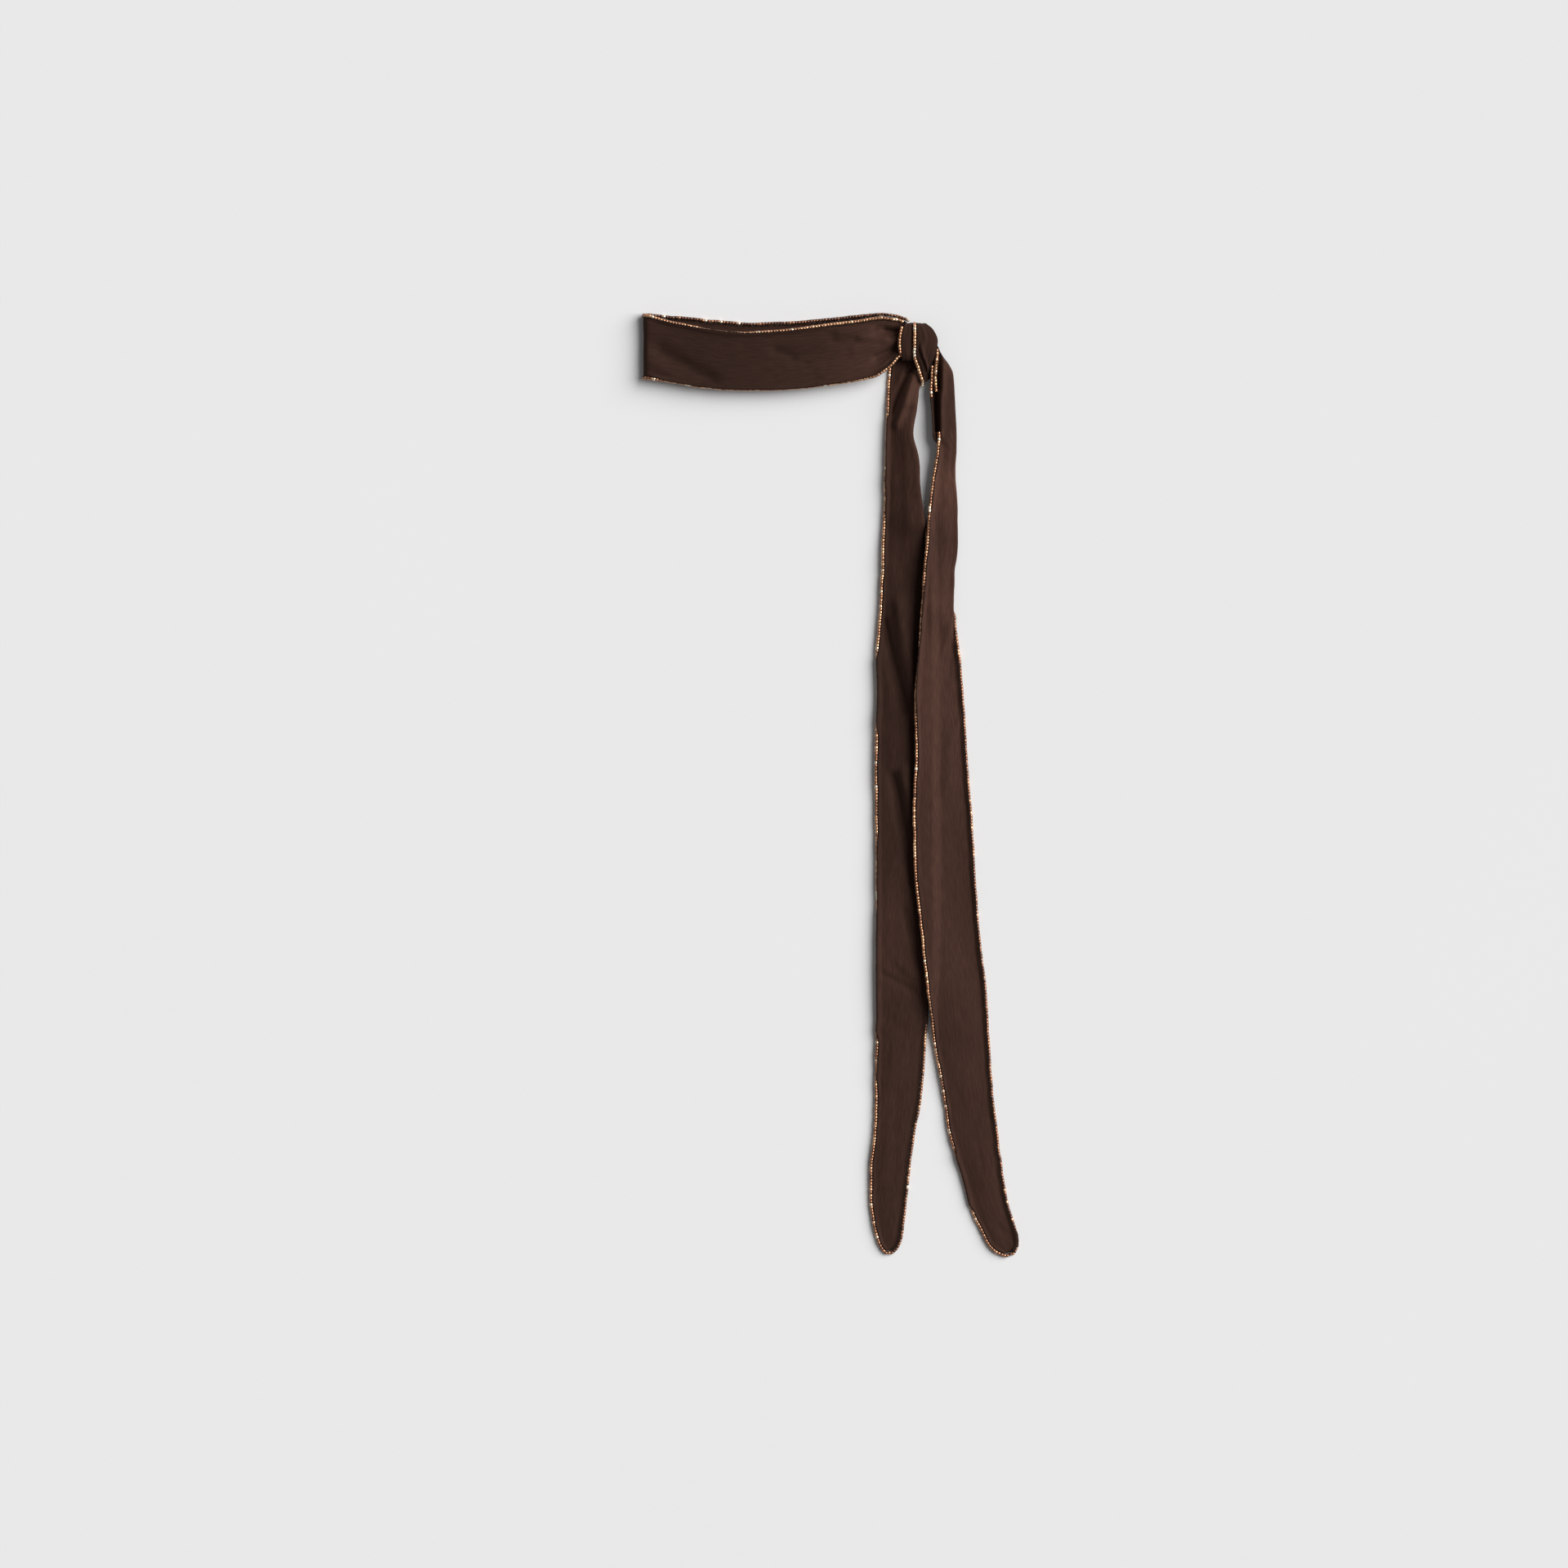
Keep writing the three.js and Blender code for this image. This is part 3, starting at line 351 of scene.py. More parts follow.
RIGHT_TAIL_END_ROLL = (
    (-323, 60), (-318, 115), (-306, 115), (-303, 60), (-290, 45), (-200, 40), (-130, 50), (-110, 75),
    (-20, 60), (60, 45), (90, 30), (112, 20), (300, 0),
)
NECK_BOTTOM_ROLL = (
    (-128, 0), (-124, 20), (-118, 60), (-112, 92), (-60, 98), (0, 95), (14, 85), (22, 62), (30, 48),
    (48, 40),
)
NECK_TOP_ROLL = (
    (-128, 0), (-124, 45), (-112, 64), (-100, 76), (-90, 90), (-84, 108), (-64, 108), (-60, 84),
    (-34, 72), (-10, 38), (2, 10), (48, 5),
)


def smooth_step(value: Array) -> Array:
    """Ease from 0 to 1 as the value goes from 0 to 1."""
    t = np.clip(value, 0.0, 1.0)
    return t * t * (3.0 - 2.0 * t)


def hump(away: Array, width: float) -> Array:
    """A soft hump: 1 at its middle, fading out over its width."""
    return np.exp(-((away / width) ** 2))


def pleats(share: Array) -> Array:
    """The two waves of the gathered cloth, by the share of the strip's width."""
    return np.cos(4 * np.pi * share)


def unit(vectors: Array) -> Array:
    """Scale each vector to a length of one."""
    return vectors / np.maximum(np.linalg.norm(vectors, axis=-1, keepdims=True), 1e-9)


def square_to(along: Array, vectors: Array) -> Array:
    """Turn vectors square to a direction and scale them to a length of one."""
    return unit(vectors - np.sum(vectors * along, axis=1, keepdims=True) * along)


def grid_normals(points: Array) -> Array:
    """Direction square to a grid of points, at each of them."""
    return unit(np.cross(np.gradient(points, axis=0), np.gradient(points, axis=1)))


def between(points: Array, places: Array) -> Array:
    """Read a smooth curve through points at fractional point numbers.

    Args:
        points: One row for each point.
        places: Where to read, in point numbers.

    Returns:
        One row for each place.
    """
    last = len(points) - 1
    low = np.clip(np.floor(places).astype(int), 0, last - 1)
    t = (places - low)[:, None]
    before = np.where((low > 0)[:, None], points[np.maximum(low - 1, 0)], 2 * points[low] - points[low + 1])
    past_end = 2 * points[low + 1] - points[low]
    after = np.where((low + 2 <= last)[:, None], points[np.minimum(low + 2, last)], past_end)
    start, end = points[low], points[low + 1]
    cubic = 3 * (start - end) + after - before
    return start + 0.5 * t * (end - before + t * (2 * before - 5 * start + 4 * end - after + t * cubic))


def path_length(points: Array) -> Array:
    """Distance along a polyline, from its first point to each one."""
    return np.concatenate([[0.0], np.cumsum(np.linalg.norm(np.diff(points, axis=0), axis=1))])


def read_line(line: Array, distances: Array) -> Array:
    """Points of a polyline at some distances along it."""
    known = path_length(line)
    return np.stack([np.interp(distances, known, line[:, axis]) for axis in range(3)], axis=1)


@dataclass(frozen=True)
class SectionTable:
    """Rows of named columns that are read at any place between the rows.

    Attributes:
        columns: The names of the columns, each with the value that a shorter row has there.
        rows: One row of numbers for each section.
    """

    columns: dict[str, float]
    rows: Rows

    def last(self) -> int:
        """Number of the last row."""
        return len(self.rows) - 1

    def values(self, *names: str) -> Array:
        """Some columns, or all of them if none is named, row by row.

        Args:
            names: The columns.

        Returns:
            One row of numbers for each section.
        """
        usual = tuple(self.columns.values())
        known = np.array([row + usual[len(row) :] for row in self.rows], dtype=float)
        return known[:, [list(self.columns).index(name) for name in names]] if names else known

    def at(self, name: str, places: Array) -> Array:
        """Read one column by a cubic that passes through each row and never overshoots.

        Args:
            name: The column.
            places: Where to read, in row numbers.

        Returns:
            One value for each place.
        """
        values = self.values(name)[:, 0]
        steps = np.diff(values)
        slopes = np.empty_like(values)
        slopes[0], slopes[-1] = steps[0], steps[-1]
        product, total = steps[:-1] * steps[1:], steps[:-1] + steps[1:]
        slopes[1:-1] = np.where(product > 0, 2 * product / np.where(total == 0, 1, total), 0)
        low = np.clip(np.floor(places).astype(int), 0, len(values) - 2)
        t = places - low
        return (
            (2 * t**3 - 3 * t**2 + 1) * values[low]
            + (t**3 - 2 * t**2 + t) * slopes[low]
            + (3 * t**2 - 2 * t**3) * values[low + 1]
            + (t**3 - t**2) * slopes[low + 1]
        )

    def places(self, middles: Array, spacing: float) -> Array:
        """Share out places so that neighbours are about one spacing apart.

        Args:
            middles: The middle of each row's section.
            spacing: The distance between neighbours.

        Returns:
            Row numbers from the first row to the last.
        """
        gaps = np.linalg.norm(np.diff(middles, axis=0), axis=1)
        parts = [
            index + np.arange(count) / count
            for index, count in enumerate(np.maximum(1, np.ceil(gaps / spacing)).astype(int))
        ]
        return np.concatenate([*parts, [float(len(middles) - 1)]])


@dataclass(frozen=True)
class Furrows:
    """Soft straight furrows and ridges in a cloth.

    Attributes:
        rows: Start x and y, end x and y, depth and width of each one.
    """

    rows: Rows

    def depth(self, x: Array, y: Array) -> Array:
        """Depth below the plain surface.

        Args:
            x: Places along X.
            y: Places along Y.

        Returns:
            The depth at each place.
        """
        total = np.zeros_like(x)
        for start_x, start_y, end_x, end_y, depth, width in self.rows:
            along_x, along_y = end_x - start_x, end_y - start_y
            share = ((x - start_x) * along_x + (y - start_y) * along_y) / (along_x**2 + along_y**2)
            share = np.clip(share, 0.0, 1.0)
            distance = np.hypot(x - start_x - share * along_x, y - start_y - share * along_y)
            total += depth * hump(distance, width)
        return total


@dataclass(frozen=True)
class Unevenness:
    """Smooth seeded unevenness over a plane, from -1 to 1.

    Its bumps are one cell long and wide, and the pattern repeats after a count of them.
    """

    seed: int
    cell_u: float
    cell_v: float
    count: int = 256
    start_u: float = 97.3
    start_v: float = 61.7

    def at(self, u: Array, v: Array) -> Array:
        """Height of the pattern.

        Args:
            u: Places in the first direction.
            v: Places in the second direction.

        Returns:
            The height at each place.
        """
        lattice = np.random.default_rng(self.seed).uniform(-1.0, 1.0, (self.count, self.count))
        u, v = u / self.cell_u + self.start_u, v / self.cell_v + self.start_v
        column, row = np.floor(u).astype(int), np.floor(v).astype(int)
        s, t = smooth_step(u - column), smooth_step(v - row)
        left, right = column % self.count, (column + 1) % self.count
        near, far = (
            (1 - s) * lattice[left, line % self.count] + s * lattice[right, line % self.count]
            for line in (row, row + 1)
        )
        return (1 - t) * near + t * far


@dataclass(frozen=True)
class EdgeRoll:
    """How far an edge of the cloth rolls up over the beads beside it.

    Each row holds a place along the edge and an angle in degrees, by rising place. At 0 the hem lies beside
    the beads, at 90 it lies on top of them and at 120 it hides them. Small changes wander between the rows
    and fade out towards 0 and 100 degrees.
    """

    rows: Rows
    seed: int
    most: float = 120.0
    wander: float = 20.0
    wander_cell: float = 6.0
    fade: float = 1.8

    def at(self, place: Array) -> Array:
        """Angle of the roll.

        Args:
            place: Places along the edge.

        Returns:
            The angle in radians at each place.
        """
        known = np.array(self.rows)
        angle = np.interp(place, known[:, 0], known[:, 1])
        wander = self.wander * Unevenness(self.seed, self.wander_cell, 1.0).at(place, np.zeros_like(place))
        fade = np.sin(np.radians(np.clip(angle * self.fade, 0, 180)))
        return np.radians(np.clip(angle + wander * fade, 0, self.most))


@dataclass(frozen=True)
class Settling:
    """The slight waviness with which the whole scarf lies, the same for cloth and beads.

    The tails rise and shift along X, and the neck loop shifts along Y.
    """

    rising: Unevenness = Unevenness(11, 23.0, 17.0)
    tail_shift: Unevenness = Unevenness(12, 31.0, 9.0)
    loop_shift: Unevenness = Unevenness(13, 9.0, 31.0)
    rise: float = 1.0
    drift: float = 0.3
    knot_y: float = 268.0
    fade: float = 20.0
    loop_x: float = 40.0

    def apply(self, points: Array) -> Array:
        """Move points by the waviness at their place.

        Args:
            points: Any array of points, in millimetres.

        Returns:
            The moved points, in an array of the same shape.
        """
        x, y = points[..., 0], points[..., 1]
        calm = smooth_step((self.knot_y - y) / self.fade)
        moved = points.copy()
        moved[..., 2] += self.rise * calm * (0.5 + 0.5 * self.rising.at(x, y))
        moved[..., 0] += self.drift * calm * self.tail_shift.at(x, y)
        shift = self.drift * (1.0 - calm) * self.loop_shift.at(x, y)
        moved[..., 1] += shift * smooth_step((self.loop_x - x) / self.fade)
        return moved


class Edge(Enum):
    """The two long edges of the strip, by the share of its width."""

    START = 0.0
    END = 1.0

    def inner(self) -> float:
        """Share of the width one step of twelve in from this edge."""
        return 1.0 / 12.0 if self is Edge.START else 11.0 / 12.0

    def depth(self, travelled: Array, length: Array) -> Array:
        """Distance from this edge, by the distance from the start edge and the full width."""
        return travelled if self is Edge.START else length - travelled


@dataclass(frozen=True)
class AcrossSpread:
    """Where the cloth's threads of points lie across the strip: close together near both edges.

    Attributes:
        zone: Width of the close zone at each edge.
        zone_steps: Steps in each close zone.
        middle_steps: Steps between them.
    """

    zone: float = 5.0
    zone_steps: int = 7
    middle_steps: int = 26

    def distances(self, width: Array) -> Array:
        """Distances from the start edge for each section.

        Args:
            width: The full width of each section.

        Returns:
            One row of distances for each section.
        """
        zone = np.minimum(self.zone, width / 3.0)[:, None]
        full = width[:, None]
        first = zone * np.arange(self.zone_steps) / self.zone_steps
        middle = zone + (full - 2 * zone) * np.arange(self.middle_steps) / self.middle_steps
        last = full - zone + zone * np.arange(self.zone_steps + 1) / self.zone_steps
        return np.concatenate([first, middle, last], axis=1)

    def rolled(self, length: Array, start_roll: Array, end_roll: Array) -> Array:
        """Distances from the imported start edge, with the cloth that rolls over the beads.

        Args:
            length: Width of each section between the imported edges.
            start_roll: Roll of the start edge in radians.
            end_roll: Roll of the end edge in radians.

        Returns:
            One row of distances for each section.
        """
        start, end = (EDGE_TO_BEADS * (1 - np.cos(roll)) for roll in (start_roll, end_roll))
        return self.distances((start + length + end)[:, 0]) - start


SPREAD = AcrossSpread()


def over_beads(height: Array, depth: Array, roll: Array, line: Array, beaded: Array) -> Array:
    """Raise the cloth near an edge that rolls over its beads.

    Args:
        height: Height of the plain cloth.
        depth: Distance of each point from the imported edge, positive towards the middle of the strip.
        roll: Roll of the edge in radians, one row for each section.
        line: Middle line of the beads, one point for each section.
        beaded: Whether each section has beads there.

    Returns:
        The height at each point.
    """
    outward = -depth - EDGE_TO_BEADS
    top = line[:, 2:3] + EDGE_TO_BEADS * np.sin(np.minimum(roll, np.pi / 2))
    end = np.minimum(-EDGE_TO_BEADS * np.cos(roll), 0.0)
    climb = height + (top - height) * smooth_step((outward + CLIMB_REACH) / (end + CLIMB_REACH))
    fall = line[:, 2:3] + np.sqrt(np.maximum(EDGE_TO_BEADS**2 - outward**2, 0.0))
    return np.where((depth < NEAR_EDGE) & beaded, np.where(outward > 0, fall, climb), height)


def bead_centres(edge: Array, inner: Array) -> Array:
    """Middle line of the beads that lie beside an edge.

    Args:
        edge: Points along the edge.
        inner: The point next to each one, inside the cloth.

    Returns:
        The line's points, outward from the cloth and square to the edge.
    """
    line = edge + EDGE_TO_BEADS * square_to(unit(np.gradient(edge, axis=0)), edge - inner)
    line[:, 2] = np.maximum(line[:, 2], BEAD_RADIUS)
    return line


@dataclass
class Tail:
    """One tail of the strip, from the knot down to its round tip.

    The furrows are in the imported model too, and the finer creases aren't. The lifts say how much higher both
    edges lie than there, by the place along Y.
    """

    sections: SectionTable
    furrows: Furrows
    creases: Furrows
    start_roll: EdgeRoll
    end_roll: EdgeRoll
    lifts: Rows
    over_left_tail: bool = False
    spacing: float = 1.7
    corner_share: float = 0.35
    tip_points: int = 6
    tip_step: int = 3
    bend_steps: int = 60

    def climb(self, x: Array, y: Array) -> Array:
        """Height that the left tail under this one gives it.

        Args:
            x: Places along X.
            y: Places along Y.

        Returns:
            The height at each place, 0 for the left tail itself.
        """
        if not self.over_left_tail:
            return np.zeros_like(x)
        known = SectionTable(TAIL_COLUMNS, LEFT_TAIL_ROWS).values("rightX", "rightY")[::-1]
        edge = np.interp(y, known[:, 1], known[:, 0])
        return OVERLAP_HEIGHT * smooth_step((edge + OVERLAP_REACH - x) / OVERLAP_RAMP)

    def extra_lift(self, y: Array, share: Array) -> Array:
        """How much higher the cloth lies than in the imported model.

        Args:
            y: Place along the tail.
            share: Place across it, from 0 at the start edge to 1 at the end edge.

        Returns:
            The extra height.
        """
        known = np.array(self.lifts)
        start, end = (np.interp(y, known[:, 0], known[:, column]) for column in (1, 2))
        across = np.clip(share, 0.0, 1.0)
        return start * (1.0 - across) ** LIFT_POWER + end * across**LIFT_POWER

    def places(self) -> Array:
        """Row numbers of the cloth's sections."""
        left, right = self.sections.values("leftX", "leftY"), self.sections.values("rightX", "rightY")
        return self.sections.places((left + right) / 2, self.spacing)

    def frame_at(self, places: Array) -> Sizes:
        """Sizes of the sections at some places.

        Args:
            places: Row numbers.

        Returns:
            Every column, and the lengths that follow from them, as one column vector each.
        """
        row = {name: self.sections.at(name, places)[:, None] for name in self.sections.columns}
        row["width"] = np.hypot(row["rightX"] - row["leftX"], row["rightY"] - row["leftY"])
        row["directionX"] = (row["rightX"] - row["leftX"]) / row["width"]
        row["directionY"] = (row["rightY"] - row["leftY"]) / row["width"]
        row["inset"] = row["beads"] * BEAD_ROW_WIDTH
        row["turn"] = np.radians(row["curl"])
        outward = np.maximum(0.0, np.cos(row["turn"]))
        bend = TUCK_RADIUS * np.sin(np.minimum(row["turn"], np.pi / 2))
        row["straight"] = row["width"] - row["inset"] - bend - (row["flap"] + row["inset"]) * outward
        row["arc"] = TUCK_RADIUS * row["turn"]
        row["length"] = row["straight"] + row["arc"] + row["flap"]
        return row

    def surface(self, row: Sizes, travelled: Array, fine: bool) -> Array:
        """Middle surface of the cloth.

        Args:
            row: The sections' sizes.
            travelled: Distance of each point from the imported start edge, along the cloth.
            fine: Whether the finer creases are added.

        Returns:
            Points for each section and each distance.
        """
        inside = np.clip(travelled, 0.0, row["length"])
        beyond_edge = travelled - inside
        turn = np.clip((inside - row["straight"]) / TUCK_RADIUS, 0.0, row["turn"])
        beyond = np.maximum(0.0, inside - row["straight"] - row["arc"])
        level_part = np.minimum(inside, row["straight"])
        across = level_part + TUCK_RADIUS * np.sin(turn) + beyond * np.cos(row["turn"])
        drop = TUCK_RADIUS * (1 - np.cos(turn)) + beyond * np.sin(row["turn"])
        x = row["leftX"] + row["directionX"] * (row["inset"] + across + beyond_edge)
        y = row["leftY"] + row["directionY"] * (row["inset"] + across + beyond_edge)
        share = across / (row["width"] - 2 * row["inset"])
        rise = row["crown"] * np.sin(np.pi * np.clip(share, 0.0, 1.0))
        gather = row["pleat"] * pleats(share)
        dent = row["hollow"] * hump(share - HOLLOW_PLACE, HOLLOW_WIDTH) + self.furrows.depth(x, y)
        if fine:
            dent = dent + self.creases.depth(x, y) * smooth_step(inside / TAIL_CREASE_FADE)
        flap_lift = (row["flap"] + row["inset"]) * np.sin(row["turn"])
        tuck_lift = TUCK_RADIUS * (1 - np.cos(row["turn"])) + flap_lift
        tuck = tuck_lift * smooth_step(across / (TUCK_SHARE * row["width"]))
        level = np.maximum(row["lift"], self.climb(x, y)) + tuck + rise + self.extra_lift(y, share)
        height = level + gather - np.minimum(dent, level) - drop
        return np.stack([x, y, HALF_CAD_WALL + height], axis=-1)

    def edge_points(self, places: Array, edge: Edge) -> Pair:
        """Points along a packed edge.

        Args:
            places: Row numbers.
            edge: Which edge.

        Returns:
            The edge's points, and the point next to each one inside the cloth.
        """
        row = self.frame_at(places)
        at_edge, inside = (
            self.surface(row, row["length"] * share, fine=False)[:, 0] for share in (edge.value, edge.inner())
        )
        return at_edge, inside

    def grid(self) -> Array:
        """Points of the cloth, section by section from the knot to the tip."""
        places = self.places()
        row = self.frame_at(places)
        start_roll = self.start_roll.at(row["leftY"]) * row["beads"]
        end_roll = self.end_roll.at(row["rightY"]) * row["beads"] * smooth_step(1.0 - row["curl"] / CURLED)
        travelled = SPREAD.rolled(row["length"], start_roll, end_roll)
        points = self.surface(row, travelled, fine=True)
        beaded = row["beads"] > SOME_BEADS
        flat = row["curl"] < CURLED
        for edge, roll, there in ((Edge.START, start_roll, beaded), (Edge.END, end_roll, beaded & flat)):
            line = bead_centres(*self.edge_points(places, edge))
            depth = edge.depth(travelled, row["length"])
            points[..., 2] = over_beads(points[..., 2], depth, roll, line, there)
        return points

    def edge_beads(self, edge: Edge, top: float) -> Array:
        """Middle line of the beads along one edge, from a row down to the tip.

        Args:
            edge: Which edge.
            top: Row number at which the beads begin.

        Returns:
            Points of the line.
        """
        last, places = self.sections.last(), self.places()
        within = places[(places > top) & (places <= last - 1)]
        return bead_centres(*self.edge_points(np.concatenate([[top], within, [float(last)]]), edge))

    def bead_line(self, first: float, first_end: float) -> Array:
        """Middle line of the tail's beads: down its start edge, round the tip and up its end edge.

        Args:
            first: Row number at which the beads begin on the start edge.
            first_end: Row number at which they begin on the end edge.

        Returns:
            Points of the line.
        """
        last = self.sections.last()
        sides = [self.edge_beads(Edge.START, first), self.edge_beads(Edge.END, first_end)]
        row = self.frame_at(np.array([last - 1.0, float(last)]))
        middle = self.surface(row, row["length"] / 2, fine=False)[:, 0]
        beyond = unit(middle[1] - middle[0])
        tip = middle[1] + (EDGE_TO_BEADS + BEAD_CLEARANCE) * beyond
        tip[2] = max(tip[2], BEAD_RADIUS)
        corners = [side[-1] + self.corner_share * EDGE_TO_BEADS * beyond for side in sides]
        near = [side[-self.tip_points - 2 : -1 : self.tip_step] for side in sides]
        control = np.array([*near[0], corners[0], tip, corners[1], *near[1][::-1]])
        bend = between(control, np.linspace(1.0, len(control) - 2.0, self.bend_steps))
        start, end = (side[: -self.tip_points] for side in sides)
        return np.concatenate([start, bend, end[::-1]])


@dataclass
class NeckLoop:
    """The flattened neck loop: its upper layer, the fold at its far end and its lower layer.

    The upper table runs from the knot to the fold and the lower one back. The beads begin and end where their
    row has the shares upper_beads and lower_beads of its full width.
    """

    upper: SectionTable
    lower: SectionTable
    furrows: Furrows
    creases: Furrows
    bottom_roll: EdgeRoll
    top_roll: EdgeRoll
    spacing: float = 1.7
    fold_steps: int = 12
    upper_beads: float = 0.89
    lower_beads: float = 0.99
    behind_steps: int = 12

    def fold_row(self, name: str, share: Array) -> Array:
        """One column at a share of the way round the far fold."""
        start, end = self.upper.values(name)[-1], self.lower.values(name)[0]
        return start + share * (end - start)

    def stations(self) -> Sizes:
        """Sizes of every section, from the knot along the upper layer, round the fold and back.

        Returns:
            Every column, with "layer" 1 on the upper layer and 0 elsewhere.
        """
        parts: list[Sizes] = []
        for table, layer in ((self.upper, 1.0), (self.lower, 0.0)):
            x, top, bottom = table.values("x", "topY", "bottomY").T
            places = table.places(np.stack([x, (top + bottom) / 2], axis=1), self.spacing)
            part = {name: table.at(name, places) for name in table.columns}
            part["layer"] = np.full(len(places), layer)
            parts.append(part)
        share = np.arange(1, self.fold_steps) / self.fold_steps
        radius = (LOOP_UPPER_HEIGHT - LOOP_LOWER_HEIGHT) / 2
        fold = {name: self.fold_row(name, share) for name in ("topY", "bottomY", "pleat", "beads")}
        fold["x"] = LOOP_CENTRE_X - radius * np.sin(np.pi * share)
        fold["height"] = LOOP_LOWER_HEIGHT + radius * (1 + np.cos(np.pi * share))
        fold["layer"] = np.zeros(len(share))
        return {name: np.concatenate([parts[0][name], fold[name], parts[1][name]]) for name in parts[0]}

    @staticmethod
    def packed_edges(row: Sizes) -> Pair:
        """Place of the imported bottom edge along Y, and the cloth's width from there."""
        bottom = row["bottomY"] + row["beads"] * BEAD_ROW_WIDTH
        return bottom, row["topY"] - row["beads"] * BEAD_ROW_WIDTH - bottom

    def edge_points(self, row: Sizes, edge: Edge) -> Pair:
        """Points along a packed edge, the start edge being the bottom one.

        Args:
            row: The sections' sizes.
            edge: Which edge.

        Returns:
            The edge's points, and the point next to each one inside the cloth.
        """
        bottom, length = self.packed_edges(row)
        points = []
        for share in (edge.value, edge.inner()):
            y = bottom + share * length
            dent = self.furrows.depth(row["x"], y) * row["layer"]
            height = row["height"] + row["pleat"] * pleats(share) - dent
            points.append(np.stack([row["x"], y, height], axis=1))
        return points[0], points[1]

    def grid(self) -> Array:
        """Points of the cloth, section by section from the knot round the loop and back to it."""
        row = self.stations()
        column = {name: values[:, None] for name, values in row.items()}
        upper = column["layer"] * column["beads"]
        rolls = [roll.at(column["x"]) * upper for roll in (self.bottom_roll, self.top_roll)]
        bottom, length = self.packed_edges(column)
        travelled = SPREAD.rolled(length, *rolls)
        x, y = column["x"] + np.zeros_like(travelled), bottom + travelled
        calm = smooth_step(np.minimum(travelled, length - travelled) / NECK_CREASE_FADE)
        dent = (self.furrows.depth(x, y) + self.creases.depth(x, y) * calm) * column["layer"]
        share = np.clip(travelled / length, 0.0, 1.0)
        z = column["height"] + column["pleat"] * pleats(share) - dent
        for edge, roll in zip(Edge, rolls):
            line = bead_centres(*self.edge_points(row, edge))
            z = over_beads(z, edge.depth(travelled, length), roll, line, column["beads"] > SOME_BEADS)
        return np.stack([x, y, z], axis=-1)

    def bead_line(self, edge: Edge) -> Array:
        """Middle line of the beads along one edge, from the knot round the loop and back to it.

        Args:
            edge: Which edge.

        Returns:
            Points of the line.
        """
        row = self.stations()
        line = bead_centres(*self.edge_points(row, edge))
        start = int(np.argmax(row["beads"] >= self.upper_beads))
        end = len(line) - int(np.argmax((row["beads"] >= self.lower_beads)[::-1]))
        line = line[start:end]
        if edge is Edge.END:
            tail = np.concatenate([line[-3:], np.array(BEHIND_KNOT_BEADS)])
            places = np.linspace(2.0, len(tail) - 1.0, self.behind_steps)
            line = np.concatenate([line[:-1], between(tail, places)])
        return line


@dataclass(frozen=True)
class FaceCrease:
    """The crease on the face of the knot's outer turn: a ridge with a deeper dent beside it.

    Attributes:
        line: Row numbers, and the ridge's share of the width there.
        start: Row at which the crease begins, and the rows in which it sets in.
        end: Row at which it ends, and the rows in which it fades out.
        ridge: Height and width of the ridge.
        dent: Depth and width of the dent.
        apart: Share of the width from the ridge to the dent.
    """

    line: Rows = ((9.0, 0.80), (10.0, 0.48), (11.0, 0.23), (12.0, 0.10))
    start: tuple[float, float] = (8.6, 1.0)
    end: tuple[float, float] = (12.8, 0.9)
    ridge: tuple[float, float] = (3.0, 0.09)
    dent: tuple[float, float] = (5.0, 0.08)
    apart: float = 0.16

    def height(self, rows: Array, share: Array) -> Array:
        """Height of the crease.

        Args:
            rows: Row number of each point.
            share: Share of the width at each point.

        Returns:
            The height at each point.
        """
        known_rows, known_shares = np.array(self.line).T
        away = share - np.interp(rows, known_rows, known_shares)
        set_in = smooth_step((rows - self.start[0]) / self.start[1])
        fade_out = smooth_step((self.end[0] - rows) / self.end[1])
        ridge = self.ridge[0] * hump(away, self.ridge[1])
        dent = self.dent[0] * hump(away - self.apart, self.dent[1])
        return (ridge - dent) * (set_in * fade_out)


